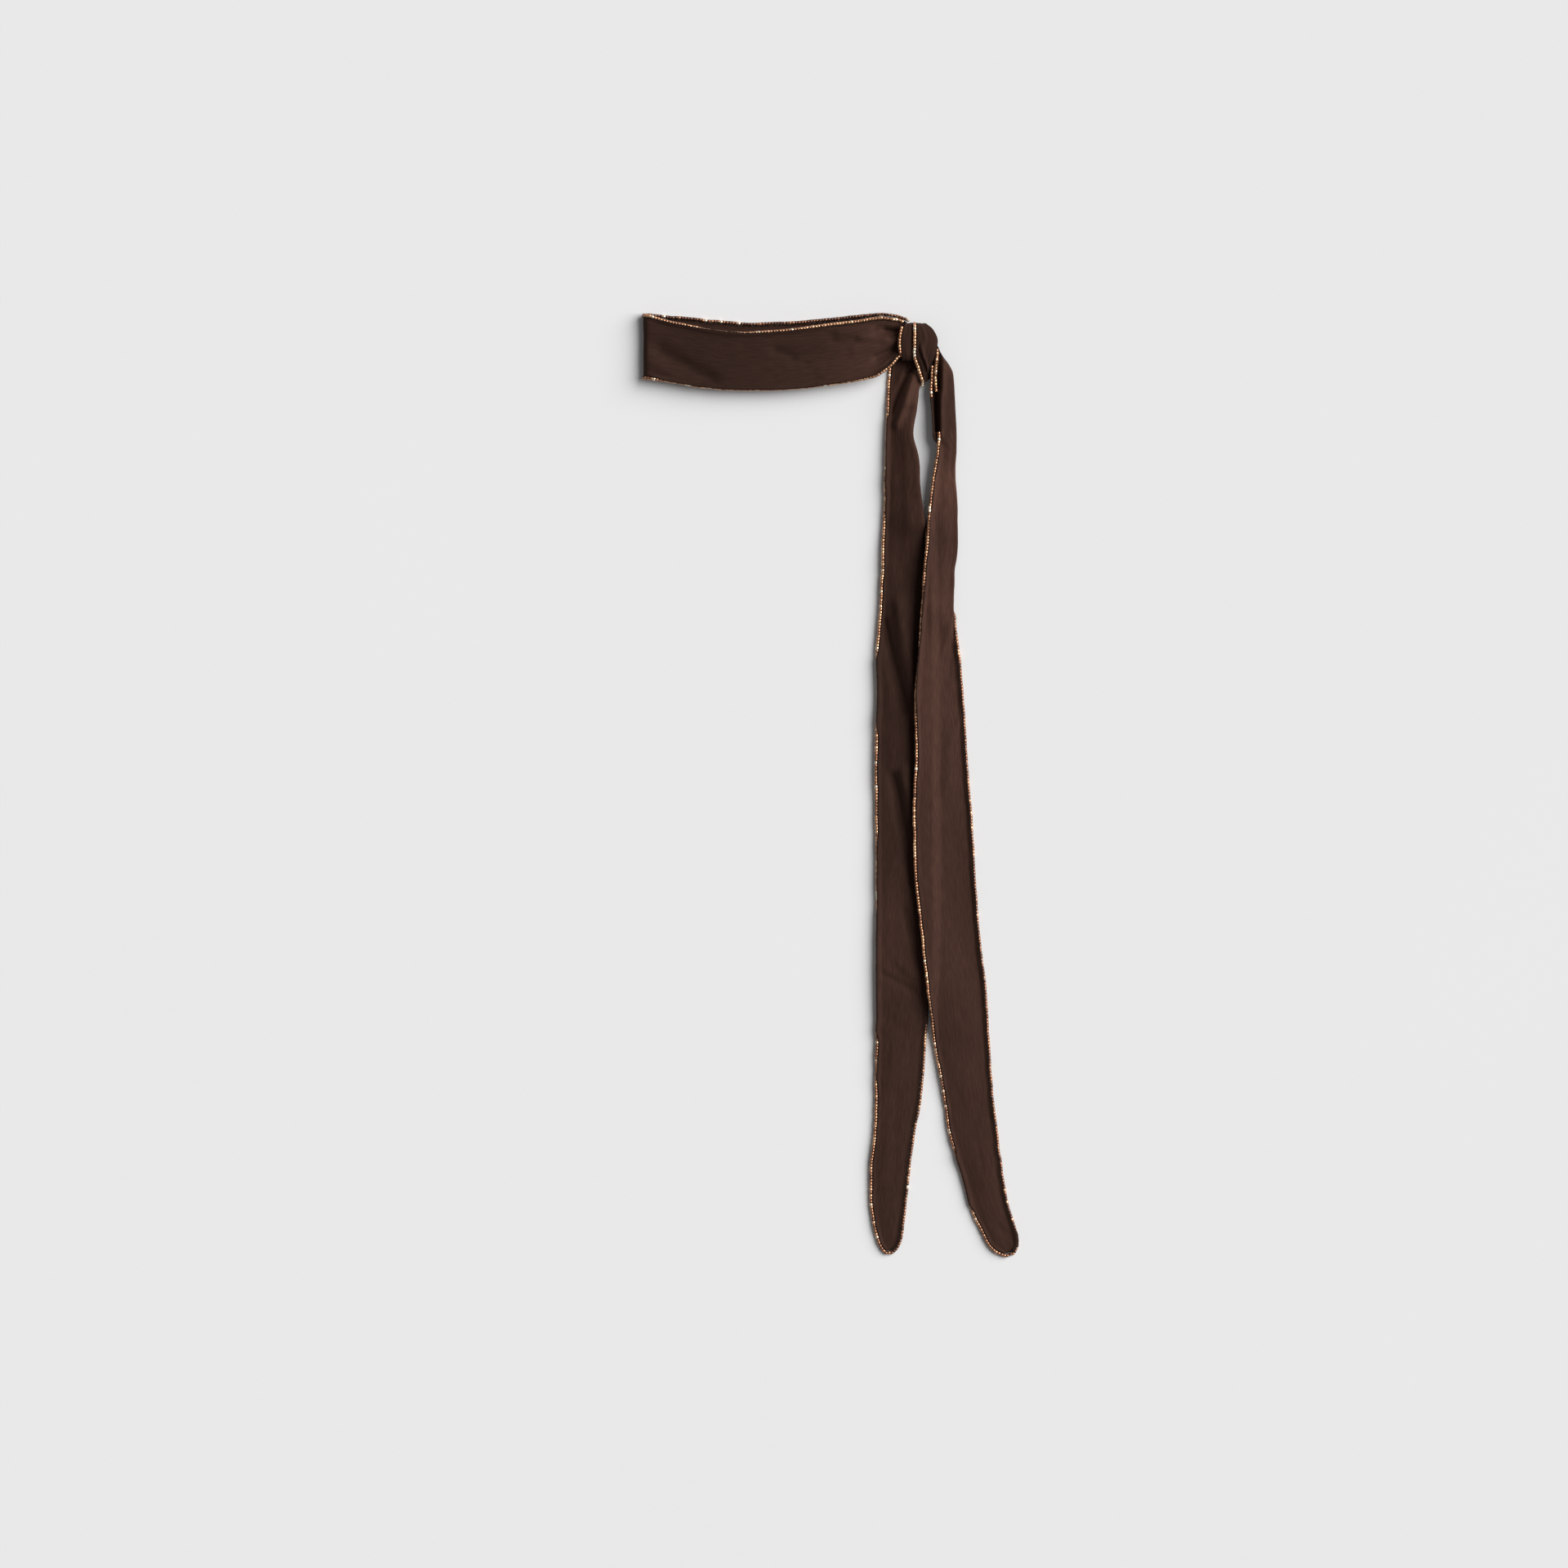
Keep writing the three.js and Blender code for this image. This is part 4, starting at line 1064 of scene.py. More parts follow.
@dataclass
class KnotWrap:
    """The strand that winds twice round the other one and makes the knot."""

    sections: SectionTable
    crease: FaceCrease = FaceCrease()
    broad_pleats: Unevenness = Unevenness(21, 5.0, 0.17)
    narrow_pleats: Unevenness = Unevenness(22, 3.0, 0.09)
    sub_steps: int = 5
    bead_steps: int = 8
    inner_part: int = 6
    wrinkle: float = 0.3
    calm_share: float = 0.12

    def corner_points(self, places: Array) -> tuple[Array, Array, Array]:
        """Left edge, right edge and bulge at some places."""
        rows = between(self.sections.values(), places)
        return rows[:, 0:3], rows[:, 3:6], np.maximum(rows[:, 6:7], 0.0)

    def grid(self) -> Array:
        """Points of the cloth, section by section from the neck loop's lower layer to the left tail."""
        last = self.sections.last()
        places = np.linspace(0.0, last, last * self.sub_steps + 1)
        left, right, bulge = self.corner_points(places)
        width = np.linalg.norm(right - left, axis=1)
        share = (SPREAD.distances(width) / width[:, None])[..., None]
        points = left[:, None] + share * (right - left)[:, None]
        points[..., 2] += bulge * np.sin(np.pi * share[..., 0])
        height = self.wrinkle * self.relief(places, share[..., 0])
        return points + grid_normals(points) * height[..., None]

    def relief(self, places: Array, share: Array) -> Array:
        """Soft pleats across the wrap, and the crease on the face of its outer turn.

        Args:
            places: Row number of each section.
            share: Share of the width at each point.

        Returns:
            The height at each point.
        """
        rows = places[:, None] + np.zeros_like(share)
        soft = self.broad_pleats.at(rows, share) + 0.5 * self.narrow_pleats.at(rows, share)
        calm = smooth_step(np.minimum(share, 1 - share) / self.calm_share)
        return calm * (soft + self.crease.height(rows, share))

    def bead_line(self, first: float, last: float) -> Array:
        """Middle line of the beads along the left edge between two rows.

        Args:
            first: The row number at which the beads begin.
            last: The one at which they end.

        Returns:
            Points of the line.
        """
        places = np.linspace(first, last, int((last - first) * self.bead_steps) + 1)
        left, right, _ = self.corner_points(places)
        return bead_centres(left, left + (right - left) / self.inner_part)


@dataclass(frozen=True)
class NodeSheet:
    """A material's node tree, with short ways to add to it."""

    material: Material

    @staticmethod
    def start(name: str) -> "NodeSheet":
        """Make an empty material."""
        material = bpy.data.materials.new(name)
        material.use_nodes = True
        material.node_tree.nodes.clear()
        return NodeSheet(material)

    def add(self, kind: str, **settings: object) -> Node:
        """Add a node of a kind and set its properties.

        Args:
            kind: The node's type.
            settings: Its properties.

        Returns:
            The node.
        """
        node = self.material.node_tree.nodes.new(kind)
        for name, value in settings.items():
            setattr(node, name, value)
        return node

    def feed(self, node: Node, values: dict[str | int, object]) -> None:
        """Set a node's inputs, each by a plain value or by a socket that is linked to it.

        Args:
            node: The node.
            values: A value or a socket for each input, by its name or number.
        """
        for name, value in values.items():
            if isinstance(value, Socket):
                self.material.node_tree.links.new(value, node.inputs[name])
            else:
                node.inputs[name].default_value = value

    def surface(self, **values: object) -> None:
        """Add the shader and the output.

        Args:
            values: Values or sockets for the shader's inputs, with underscores for spaces.
        """
        shader = self.add("ShaderNodeBsdfPrincipled")
        self.feed(shader, {name.replace("_", " "): value for name, value in values.items()})
        self.feed(self.add("ShaderNodeOutputMaterial"), {"Surface": shader.outputs["BSDF"]})

    def noise(
        self, place: Socket, scale: tuple[float, float, float], detail: float
    ) -> Socket:
        """Add a noise pattern with its own scale in each direction.

        Args:
            place: The coordinates that it is laid on.
            scale: Its bumps for each metre, in each direction.
            detail: How much finer detail it has.

        Returns:
            The socket that gives the pattern.
        """
        mapping = self.add("ShaderNodeMapping")
        self.feed(mapping, {"Vector": place, "Scale": scale})
        noise = self.add("ShaderNodeTexNoise")
        values = {"Vector": mapping.outputs["Vector"], "Scale": 1.0, "Detail": detail, "Roughness": 0.55}
        self.feed(noise, values)
        return noise.outputs["Fac"]

    def object_noise(self, scale: float, detail: float) -> Socket:
        """Add a noise pattern on Object coordinates, with the same scale in every direction."""
        return self.noise(self.add("ShaderNodeTexCoord").outputs["Object"], (scale,) * 3, detail)

    def ramp(
        self, source: Socket, stops: tuple[tuple[float, Colour], ...]
    ) -> Socket:
        """Add a colour ramp.

        Args:
            source: What the ramp reads.
            stops: Position and colour of each stop.

        Returns:
            The socket that gives the colour.
        """
        node = self.add("ShaderNodeValToRGB")
        elements = node.color_ramp.elements
        while len(elements) < len(stops):
            elements.new(0.5)
        for element, (position, colour) in zip(elements, stops):
            element.position = position
            element.color = (*colour, 1.0)
        self.feed(node, {"Fac": source})
        return node.outputs["Color"]

    def bump(self, height: Socket, distance: float, **under: object) -> Socket:
        """Add a bump.

        Args:
            height: The pattern that it raises.
            distance: Its height in metres.
            under: Normal, the socket of another bump that it lies on.

        Returns:
            The socket that gives the normal.
        """
        node = self.add("ShaderNodeBump")
        self.feed(node, {"Height": height, "Distance": distance, "Strength": 1.0, **under})
        return node.outputs["Normal"]

    def calculate(self, operation: str, *values: object) -> Socket:
        """Add a step of arithmetic on numbers or sockets."""
        node = self.add("ShaderNodeMath", operation=operation)
        self.feed(node, dict(enumerate(values)))
        return node.outputs["Value"]

    def mix(self, factor: object, first: object, second: object, **settings: str) -> Socket:
        """Mix two numbers or colours.

        Args:
            factor: The second one's share, as a number or a socket.
            first: A value or a socket.
            second: Another one.
            settings: What kind of values it mixes and how.

        Returns:
            The socket that gives the mix.
        """
        node = self.add("ShaderNodeMix", **settings)
        self.feed(node, {"Factor": factor, "A": first, "B": second})
        return node.outputs["Result"]


@dataclass(frozen=True)
class ChiffonFinish:
    """Crinkled chiffon: fine lengthwise crinkles over a sheer weave, with a faint sheen.

    Attributes:
        crinkles: Crinkles for each metre along, across and up. Patches and threads are in the same form.
        painted_shading_strength: Factor for the painted light and shade along the strip.
        painted_shading: Distance along the strip in metres and how much lighter or darker the colour is
            painted there, as painted light and shade where a stretch of the cloth lies in more or less light.
        smoothness: Distance along the strip in metres and how much the crinkles show there.
    """

    shade: Colour = (0.030, 0.0140, 0.0098)
    body: Colour = (0.041, 0.0192, 0.0136)
    light: Colour = (0.054, 0.0255, 0.0182)
    sheen: Colour = (0.60, 0.36, 0.28)
    crinkles: tuple[float, float, float] = (110.0, 900.0, 1.0)
    patches: tuple[float, float, float] = (14.0, 60.0, 1.0)
    threads: tuple[float, float, float] = (1400.0, 3200.0, 1.0)
    crinkle_share: float = 0.62
    patch_share: float = 0.38
    crinkle_height: float = 0.00010
    thread_height: float = 0.00003
    painted_shading_strength: float = 1.6
    painted_shading: Rows = (
        (0, 0.62), (0.167, 0.62), (0.2338, 0.65), (0.29225, 0.52), (0.3507, 0.54), (0.40581, 0.47),
        (0.4676, 0.54), (0.5344, 0.68), (0.59285, 0.96), (0.62959, 0.58), (0.9519, 0.6), (0.99365, 0.52),
        (1.0187, 0.48), (1.0688, 0.53), (1.1022, 0.58), (1.1356, 0.8), (1.1857, 0.9), (1.20574, 0.86),
        (1.22411, 0.6), (1.24582, 0.62), (1.28256, 1.2), (1.3193, 0.64), (1.3694, 0.94), (1.4362, 0.85),
        (1.503, 0.77), (1.57815, 0.75), (1.67, 0.69),
    )
    smoothness: Rows = (
        (0.6012, 1), (0.62959, 0.25), (0.77655, 0.25), (0.8016, 1),
    )

    def material(self) -> Material:
        """Build the material on the cloth's own UV map, which is in metres."""
        sheet = NodeSheet.start("crinkled_chiffon")
        place = sheet.add("ShaderNodeUVMap", uv_map="cloth").outputs["UV"]
        crinkle = sheet.noise(place, self.crinkles, 2.0)
        crinkle = sheet.mix(self.along(sheet, place, self.smoothness), 0.5, crinkle, data_type="FLOAT")
        patch = sheet.calculate("MULTIPLY", sheet.noise(place, self.patches, 2.0), self.patch_share)
        blend = sheet.calculate("MULTIPLY_ADD", crinkle, self.crinkle_share, patch)
        colour = sheet.ramp(blend, ((0.30, self.shade), (0.50, self.body), (0.70, self.light)))
        # Painted light and shade: the colour is made lighter or darker along the strip where the cloth lies in
        # more or less light
        painted_shading_tint = tuple((distance, self.painted_shading_strength * depth) for distance, depth in self.painted_shading)
        painted_shading_tint = self.along(sheet, place, painted_shading_tint)
        weave = sheet.noise(place, self.threads, 1.0)
        sheet.surface(
            Base_Color=sheet.mix(1.0, colour, painted_shading_tint, data_type="RGBA", blend_type="MULTIPLY"),
            Roughness=0.85,
            Sheen_Weight=0.06,
            Sheen_Roughness=0.5,
            Sheen_Tint=(*self.sheen, 1.0),
            Specular_IOR_Level=0.08,
            Normal=sheet.bump(weave, self.thread_height, Normal=sheet.bump(crinkle, self.crinkle_height)),
        )
        return sheet.material

    def along(
        self, sheet: NodeSheet, place: Socket, stops: Rows
    ) -> Socket:
        """Let a value drift slowly from one tip of the strip to the other.

        Args:
            sheet: The material's nodes.
            place: The place on the flat strip, in metres.
            stops: Distance along the strip in metres and the value there.

        Returns:
            The socket that gives the value.
        """
        parts = sheet.add("ShaderNodeSeparateXYZ")
        sheet.feed(parts, {"Vector": place})
        length = FLAT_LENGTH * MM
        share = sheet.calculate("DIVIDE", parts.outputs["X"], length)
        return sheet.ramp(share, tuple((distance / length, (value,) * 3) for distance, value in stops))


@dataclass(frozen=True)
class BeadFinish:
    """Bronze lustre on glass: each bead has its own tone, from dark copper to pale gold for painted glints."""

    stops: tuple[tuple[float, Colour], ...] = (
        (0.0, (0.10, 0.039, 0.022)),
        (0.45, (0.39, 0.172, 0.086)),
        (0.8, (0.88, 0.50, 0.28)),
        (1.0, (1.0, 0.82, 0.62)),
    )
    fineness: float = 1600.0
    roughness: tuple[float, float] = (0.20, 0.42)
    grain: float = 0.00004

    def material(self) -> Material:
        """Build the material on the beads' own tone attribute."""
        sheet = NodeSheet.start("bronze_lustre_beads")
        tone = sheet.add("ShaderNodeAttribute", attribute_name="bead_tone").outputs["Fac"]
        streak = sheet.object_noise(self.fineness, 2.0)
        rough = sheet.add("ShaderNodeMapRange")
        sheet.feed(rough, {"Value": streak, "To Min": self.roughness[0], "To Max": self.roughness[1]})
        sheet.surface(
            Base_Color=sheet.ramp(tone, self.stops),
            Metallic=0.75,
            Roughness=rough.outputs["Result"],
            Coat_Weight=0.4,
            Coat_Roughness=0.15,
            Specular_IOR_Level=0.6,
            Normal=sheet.bump(streak, self.grain),
        )
        return sheet.material


@dataclass(frozen=True)
class MottledFinish:
    """A matt finish with a mottle between two colours, on Object coordinates.

    The edges say where the mottle leaves the darker colour and where it reaches the paler one. The grain is
    its height in metres.
    """

    name: str
    dark: Colour
    pale: Colour
    fineness: float
    detail: float = 1.0
    edges: tuple[float, float] = (0.3, 0.7)
    roughness: float = 0.9
    shine: float = 0.1
    sheen: float = 0.0
    grain: float = 0.0

    def material(self) -> Material:
        """Build the material."""
        sheet = NodeSheet.start(self.name)
        mottle = sheet.object_noise(self.fineness, self.detail)
        values = {"Base_Color": sheet.ramp(mottle, tuple(zip(self.edges, (self.dark, self.pale))))}
        if self.grain:
            values["Normal"] = sheet.bump(mottle, self.grain)
        sheet.surface(
            Roughness=self.roughness, Sheen_Weight=self.sheen, Specular_IOR_Level=self.shine, **values
        )
        return sheet.material


@dataclass(frozen=True)
class HemFinish(MottledFinish):
    """The rolled hem and its stitches: the cloth's brown, a little darker."""

    name: str = "hem_thread"
    dark: Colour = (0.010, 0.0046, 0.0032)
    pale: Colour = (0.026, 0.0125, 0.0088)
    fineness: float = 900.0
    detail: float = 2.0
    edges: tuple[float, float] = (0.35, 0.65)
    roughness: float = 0.8
    sheen: float = 0.04
    grain: float = 0.0001


@dataclass(frozen=True)
class FloorFinish(MottledFinish):
    """A plain pale matt floor, with a very faint mottle."""

    name: str = "pale_floor"
    dark: Colour = (0.796, 0.796, 0.796)
    pale: Colour = (0.80, 0.80, 0.80)
    fineness: float = 3.0


@dataclass(frozen=True)
class ThreadFinish(MottledFinish):
    """The dark thread that runs through the beads."""

    name: str = "bead_thread"
    dark: Colour = (0.020, 0.011, 0.008)
    pale: Colour = (0.032, 0.0176, 0.0128)
    fineness: float = 2500.0
    roughness: float = 0.65
    shine: float = 0.5


class Workbench:
    """Short ways to use Blender's operators on one object at a time."""

    @staticmethod
    def clear() -> None:
        """Deselect everything."""
        if bpy.context.object is not None and bpy.context.object.mode != "OBJECT":
            bpy.ops.object.mode_set(mode="OBJECT")
        bpy.ops.object.select_all(action="DESELECT")

    @staticmethod
    def take(*objects: Object) -> None:
        """Select some objects alone and make the first one active."""
        Workbench.clear()
        for obj in objects:
            obj.select_set(True)
        bpy.context.view_layer.objects.active = objects[0]

    @staticmethod
    def added(name: str) -> Object:
        """Name the object that an operator has just added."""
        obj = bpy.context.object
        obj.name = name
        obj.data.name = name
        return obj

    @staticmethod
    def pick_faces(obj: Object, wanted: list[bool]) -> None:
        """Select some of an object's faces in edit mode, and only those.

        Args:
            obj: The active object.
            wanted: Whether each face is wanted.
        """
        bpy.ops.object.mode_set(mode="EDIT")
        bpy.ops.mesh.select_mode(type="FACE")
        bpy.ops.mesh.select_all(action="DESELECT")
        bpy.ops.object.mode_set(mode="OBJECT")
        obj.data.polygons.foreach_set("select", wanted)
        bpy.ops.object.mode_set(mode="EDIT")


@dataclass
class ScarfCloth:
    """The whole strip of cloth, as one sheet from the left tail's tip to the right tail's tip.

    Each ripple has a seed, a height, a length and a width.
    """

    left_tail: Tail
    wrap: KnotWrap
    neck: NeckLoop
    right_tail: Tail
    settling: Settling = Settling()
    ripples: Rows = ((31, 0.07, 16.0, 2.9), (32, 0.10, 28.0, 6.5), (33, 0.16, 24.0, 15.0))
    ripple_fade: float = 3.5
    even_sections: int = 9
    taper_start: float = -140.0
    taper_length: float = 110.0
    least_width: float = 22.0

    def points(self) -> Array:
        """Points of the strip, section by section from tip to tip."""
        parts = (self.left_tail.grid()[::-1], self.wrap.grid()[::-1], self.neck.grid()[::-1])
        return self.settling.apply(np.concatenate([*parts, self.right_tail.grid()]))

    def flat_places(self, strip: Array) -> Pair:
        """Where each point lies on the flat strip.

        Args:
            strip: The strip's points.

        Returns:
            Distance along and distance across, in millimetres.
        """
        middle = strip[:, strip.shape[1] // 2]
        along = path_length(middle)
        steps = np.linalg.norm(np.diff(strip, axis=1), axis=2)
        across = np.cumsum(np.pad(steps, ((0, 0), (1, 0))), axis=1)
        half = self.even_sections
        sums = np.cumsum(np.pad(across, ((half + 1, half), (0, 0)), mode="edge"), axis=0)
        across = (sums[2 * half + 1 :] - sums[: -2 * half - 1]) / (2 * half + 1)
        width = across[:, -1:]
        tip = smooth_step((self.taper_start - middle[:, 1]) / self.taper_length)[:, None]
        flat = np.maximum(width, self.least_width * (1 - tip))
        return along[:, None] + np.zeros_like(across), (across / width - 0.5) * flat

    def relief(self, strip: Array) -> Array:
        """Small lengthwise ripples of the crinkled cloth, fading out at the hems.

        Args:
            strip: The strip's points.

        Returns:
            The height at each point.
        """
        along, across = self.flat_places(strip)
        width = across[:, -1:] - across[:, :1]
        calm = smooth_step((width / 2 - np.abs(across)) / self.ripple_fade)
        return calm * sum(
            height * Unevenness(seed, length, breadth).at(along, across)
            for seed, height, length, breadth in self.ripples
        )

    def build(self, finish: Material) -> Object:
        """Model the sheet from one grid, whose points are moved to their places.

        Args:
            finish: The cloth's material.

        Returns:
            The open sheet, before its wall gets its thickness.
        """
        strip = self.points()
        along, across = self.flat_places(strip)
        strip = strip + grid_normals(strip) * self.relief(strip)[..., None]
        sections, width = strip.shape[:2]
        Workbench.clear()
        bpy.ops.mesh.primitive_grid_add(x_subdivisions=sections - 1, y_subdivisions=width - 1, size=1.0)
        cloth = Workbench.added("scarf_cloth")
        order = strip.transpose(1, 0, 2).reshape(-1, 3) * MM
        cloth.data.vertices.foreach_set("co", order.ravel())
        flat = np.stack([along.T.ravel(), across.T.ravel()], axis=1) * MM
        cloth.data.uv_layers[0].name = "cloth"
        corners = np.empty(len(cloth.data.loops), dtype=int)
        cloth.data.loops.foreach_get("vertex_index", corners)
        cloth.data.uv_layers["cloth"].data.foreach_set("uv", flat[corners].ravel())
        cloth.data.materials.append(finish)
        cloth.data.update()
        bpy.ops.object.shade_smooth()
        return cloth

    def hem(self, cloth: Object, finish: Material) -> Object:
        """Run a rolled hem along the sheet's rim.

        Args:
            cloth: The open sheet.
            finish: The hem's material.

        Returns:
            The hem, a closed tube.
        """
        Workbench.take(cloth)
        bpy.ops.object.duplicate()
        bpy.ops.object.mode_set(mode="EDIT")
        bpy.ops.mesh.select_mode(type="EDGE")
        bpy.ops.mesh.select_all(action="SELECT")
        bpy.ops.mesh.region_to_loop()
        bpy.ops.mesh.select_all(action="INVERT")
        bpy.ops.mesh.delete(type="EDGE")
        bpy.ops.mesh.select_all(action="SELECT")
        bpy.ops.mesh.delete(type="ONLY_FACE")
        bpy.ops.object.mode_set(mode="OBJECT")
        bpy.ops.object.convert(target="CURVE")
        bpy.context.object.data.bevel_depth = HEM_RADIUS * MM
        bpy.context.object.data.bevel_resolution = 1
        bpy.ops.object.convert(target="MESH")
        rim = Workbench.added("rolled_hem")
        rim.data.materials.clear()
        rim.data.materials.append(finish)
        bpy.ops.object.shade_smooth()
        return rim

    def thicken(self, cloth: Object) -> None:
        """Give the open sheet its thickness."""
        Workbench.take(cloth)
        modifier = cloth.modifiers.new("wall", "SOLIDIFY")
        modifier.thickness = CLOTH_THICKNESS * MM
        modifier.offset = 0.0
        bpy.ops.object.modifier_apply(modifier=modifier.name)


@dataclass(frozen=True)
class RepeatedShape:
    """A small mesh that is copied many times into one piece.

    Attributes:
        points: Its points, in millimetres.
        faces: Its faces, as tuples of point numbers.
        materials: The material number of each face.
        smooth: Whether each face is shaded smooth.
    """

    points: Array
    faces: list[tuple[int, ...]]
    materials: list[int]
    smooth: list[bool]

    @staticmethod
    def of(obj: Object) -> "RepeatedShape":
        """Keep an object's mesh as a shape to repeat, and remove the object.

        Args:
            obj: The object.

        Returns:
            Its shape, material numbers and shading.
        """
        mesh = obj.data
        shape = RepeatedShape(
            np.array([tuple(vertex.co) for vertex in mesh.vertices]),
            [tuple(face.vertices) for face in mesh.polygons],
            [face.material_index for face in mesh.polygons],
            [face.use_smooth for face in mesh.polygons],
        )
        bpy.data.objects.remove(obj, do_unlink=True)
        bpy.data.meshes.remove(mesh)
        return shape

    def copies(self, name: str, places: Array, turns: Array) -> Object:
        """Copy the shape to each place as one object.

        Args:
            name: The object's name.
            places: Where each copy goes, in millimetres.
            turns: The rotation, with any scale, of each copy as a 3 by 3 matrix.

        Returns:
            The object, at the origin.
        """
        count, size = len(places), len(self.points)
        points = np.einsum("nij,kj->nki", turns, self.points) + places[:, None]
        mesh = bpy.data.meshes.new(name)
        starts = range(0, size * count, size)
        faces = [tuple(start + corner for corner in face) for start in starts for face in self.faces]
        mesh.from_pydata((points.reshape(-1, 3) * MM).tolist(), [], faces)
        mesh.polygons.foreach_set("material_index", self.materials * count)
        mesh.polygons.foreach_set("use_smooth", self.smooth * count)
        mesh.update()
        obj = bpy.data.objects.new(name, mesh)
        bpy.context.scene.collection.objects.link(obj)
        return obj


@dataclass(frozen=True)
class CylinderBead:
    """One short cut cylinder bead with a drilled hole, and the thread through it, along Z."""

    sides: int = 10
    wall: float = 0.62
    rim: float = 0.07
    smooth_angle: float = 40.0
    margin: float = 0.05
    end_slope: float = 0.9
    thread_radius: float = 0.3
    thread_sides: int = 6
    thread_overlap: float = 0.1
    thread_smooth_angle: float = 70.0

    def shape(self) -> RepeatedShape:
        """Model the bead: a cylinder, its ends inset and bridged into a hole, and its rims bevelled."""
        Workbench.clear()
        bpy.ops.mesh.primitive_cylinder_add(
            vertices=self.sides, radius=BEAD_RADIUS, depth=BEAD_LENGTH, end_fill_type="NGON"
        )
        bead = Workbench.added("bead")
        Workbench.pick_faces(bead, [abs(face.normal.z) > self.end_slope for face in bead.data.polygons])
        bpy.ops.mesh.inset(thickness=self.wall, use_individual=True)
        bpy.ops.mesh.bridge_edge_loops()
        bpy.ops.mesh.select_all(action="SELECT")
        bpy.ops.mesh.normals_make_consistent(inside=False)
        bpy.ops.mesh.select_mode(type="EDGE")
        bpy.ops.mesh.select_all(action="DESELECT")
        bpy.ops.object.mode_set(mode="OBJECT")
        points = [vertex.co for vertex in bead.data.vertices]
        for edge in bead.data.edges:
            start, end = (points[number] for number in edge.vertices)
            inmost = min(math.hypot(start.x, start.y), math.hypot(end.x, end.y))
            level = abs(start.z - end.z) < self.margin
            edge.select = level and inmost > BEAD_RADIUS - self.margin
        bpy.ops.object.mode_set(mode="EDIT")
        bpy.ops.mesh.bevel(offset=self.rim, segments=1)
        bpy.ops.object.mode_set(mode="OBJECT")
        bpy.ops.object.shade_smooth_by_angle(angle=math.radians(self.smooth_angle))
        thread = self.thread()
        Workbench.take(bead, thread)
        bpy.ops.object.join()
        return RepeatedShape.of(bead)

    def thread(self) -> Object:
        """Model the stretch of thread inside one bead, which is the material numbered 1."""
        Workbench.clear()
        length = BEAD_PITCH + self.thread_overlap
        bpy.ops.mesh.primitive_cylinder_add(
            vertices=self.thread_sides, radius=self.thread_radius, depth=length, end_fill_type="NGON"
        )
        thread = Workbench.added("thread")
        bpy.ops.object.shade_smooth_by_angle(angle=math.radians(self.thread_smooth_angle))
        for slot in ("bead_slot", "thread_slot"):
            thread.data.materials.append(bpy.data.materials.get(slot) or bpy.data.materials.new(slot))
        thread.data.polygons.foreach_set("material_index", [1] * len(thread.data.polygons))
        return thread


@dataclass(frozen=True)
class HemStitch:
    """One loop of thread that holds a bead row to the hem, round the Z axis."""

    reach: float = 1.15
    height: float = 0.95
    thread_radius: float = 0.13
    loop_steps: int = 8
    thread_sides: int = 3

    def shape(self) -> RepeatedShape:
        """Model the loop: a small torus, drawn out to reach from the hem to the thread in the beads."""
        Workbench.clear()
        bpy.ops.mesh.primitive_torus_add(
            major_segments=self.loop_steps,
            minor_segments=self.thread_sides,
            major_radius=0.5,
            minor_radius=self.thread_radius,
        )
        stitch = Workbench.added("stitch")
        bpy.ops.object.mode_set(mode="EDIT")
        bpy.ops.mesh.select_all(action="SELECT")
        bpy.ops.transform.resize(value=(2.0 * self.reach, 2.0 * self.height, 1.0))
        bpy.ops.object.mode_set(mode="OBJECT")
        bpy.ops.object.shade_smooth()
        return RepeatedShape.of(stitch)


@dataclass(frozen=True)
class ToneMix:
    """The mix of tones in a bead row.

    Attributes:
        middle: The usual tone, from 0 for dark copper to 1 for pale gold.
        spread: How much the tones differ.
        painted_glint_share: Share of the beads that are painted pale as glints.
        back: How much darker the beads are painted where the row lies behind the upper layer, as painted
            shade.
        right_side: How much darker they are up the right-hand edges of the tails.
        low: How much darker they are by the tips of the tails.
        drift: How much the tone drifts along the row, over a few beads.
        painted_glint_tone: Tone of the beads that are painted pale as glints.
        usual: Darkest and palest tone of the others.
        back_top: Height below which a bead begins to lie behind and is painted darker, and the height that
            this takes.
        low_top: Place along Y below which a tip begins, and the length that this takes.
        reach: How near a listed place of a painted glint lies to its bead.
    """

    middle: float = 0.52
    spread: float = 0.13
    painted_glint_share: float = 0.05
    back: float = 0.0
    right_side: float = 0.0
    low: float = 0.0
    drift: float = 0.16
    drift_beads: float = 6.0
    painted_glint_tone: float = 0.97
    usual: tuple[float, float] = (0.05, 0.85)
    darkest: float = 0.03
    back_top: tuple[float, float] = (7.5, 2.0)
    low_top: tuple[float, float] = (-120.0, 80.0)
    reach: float = 1.8


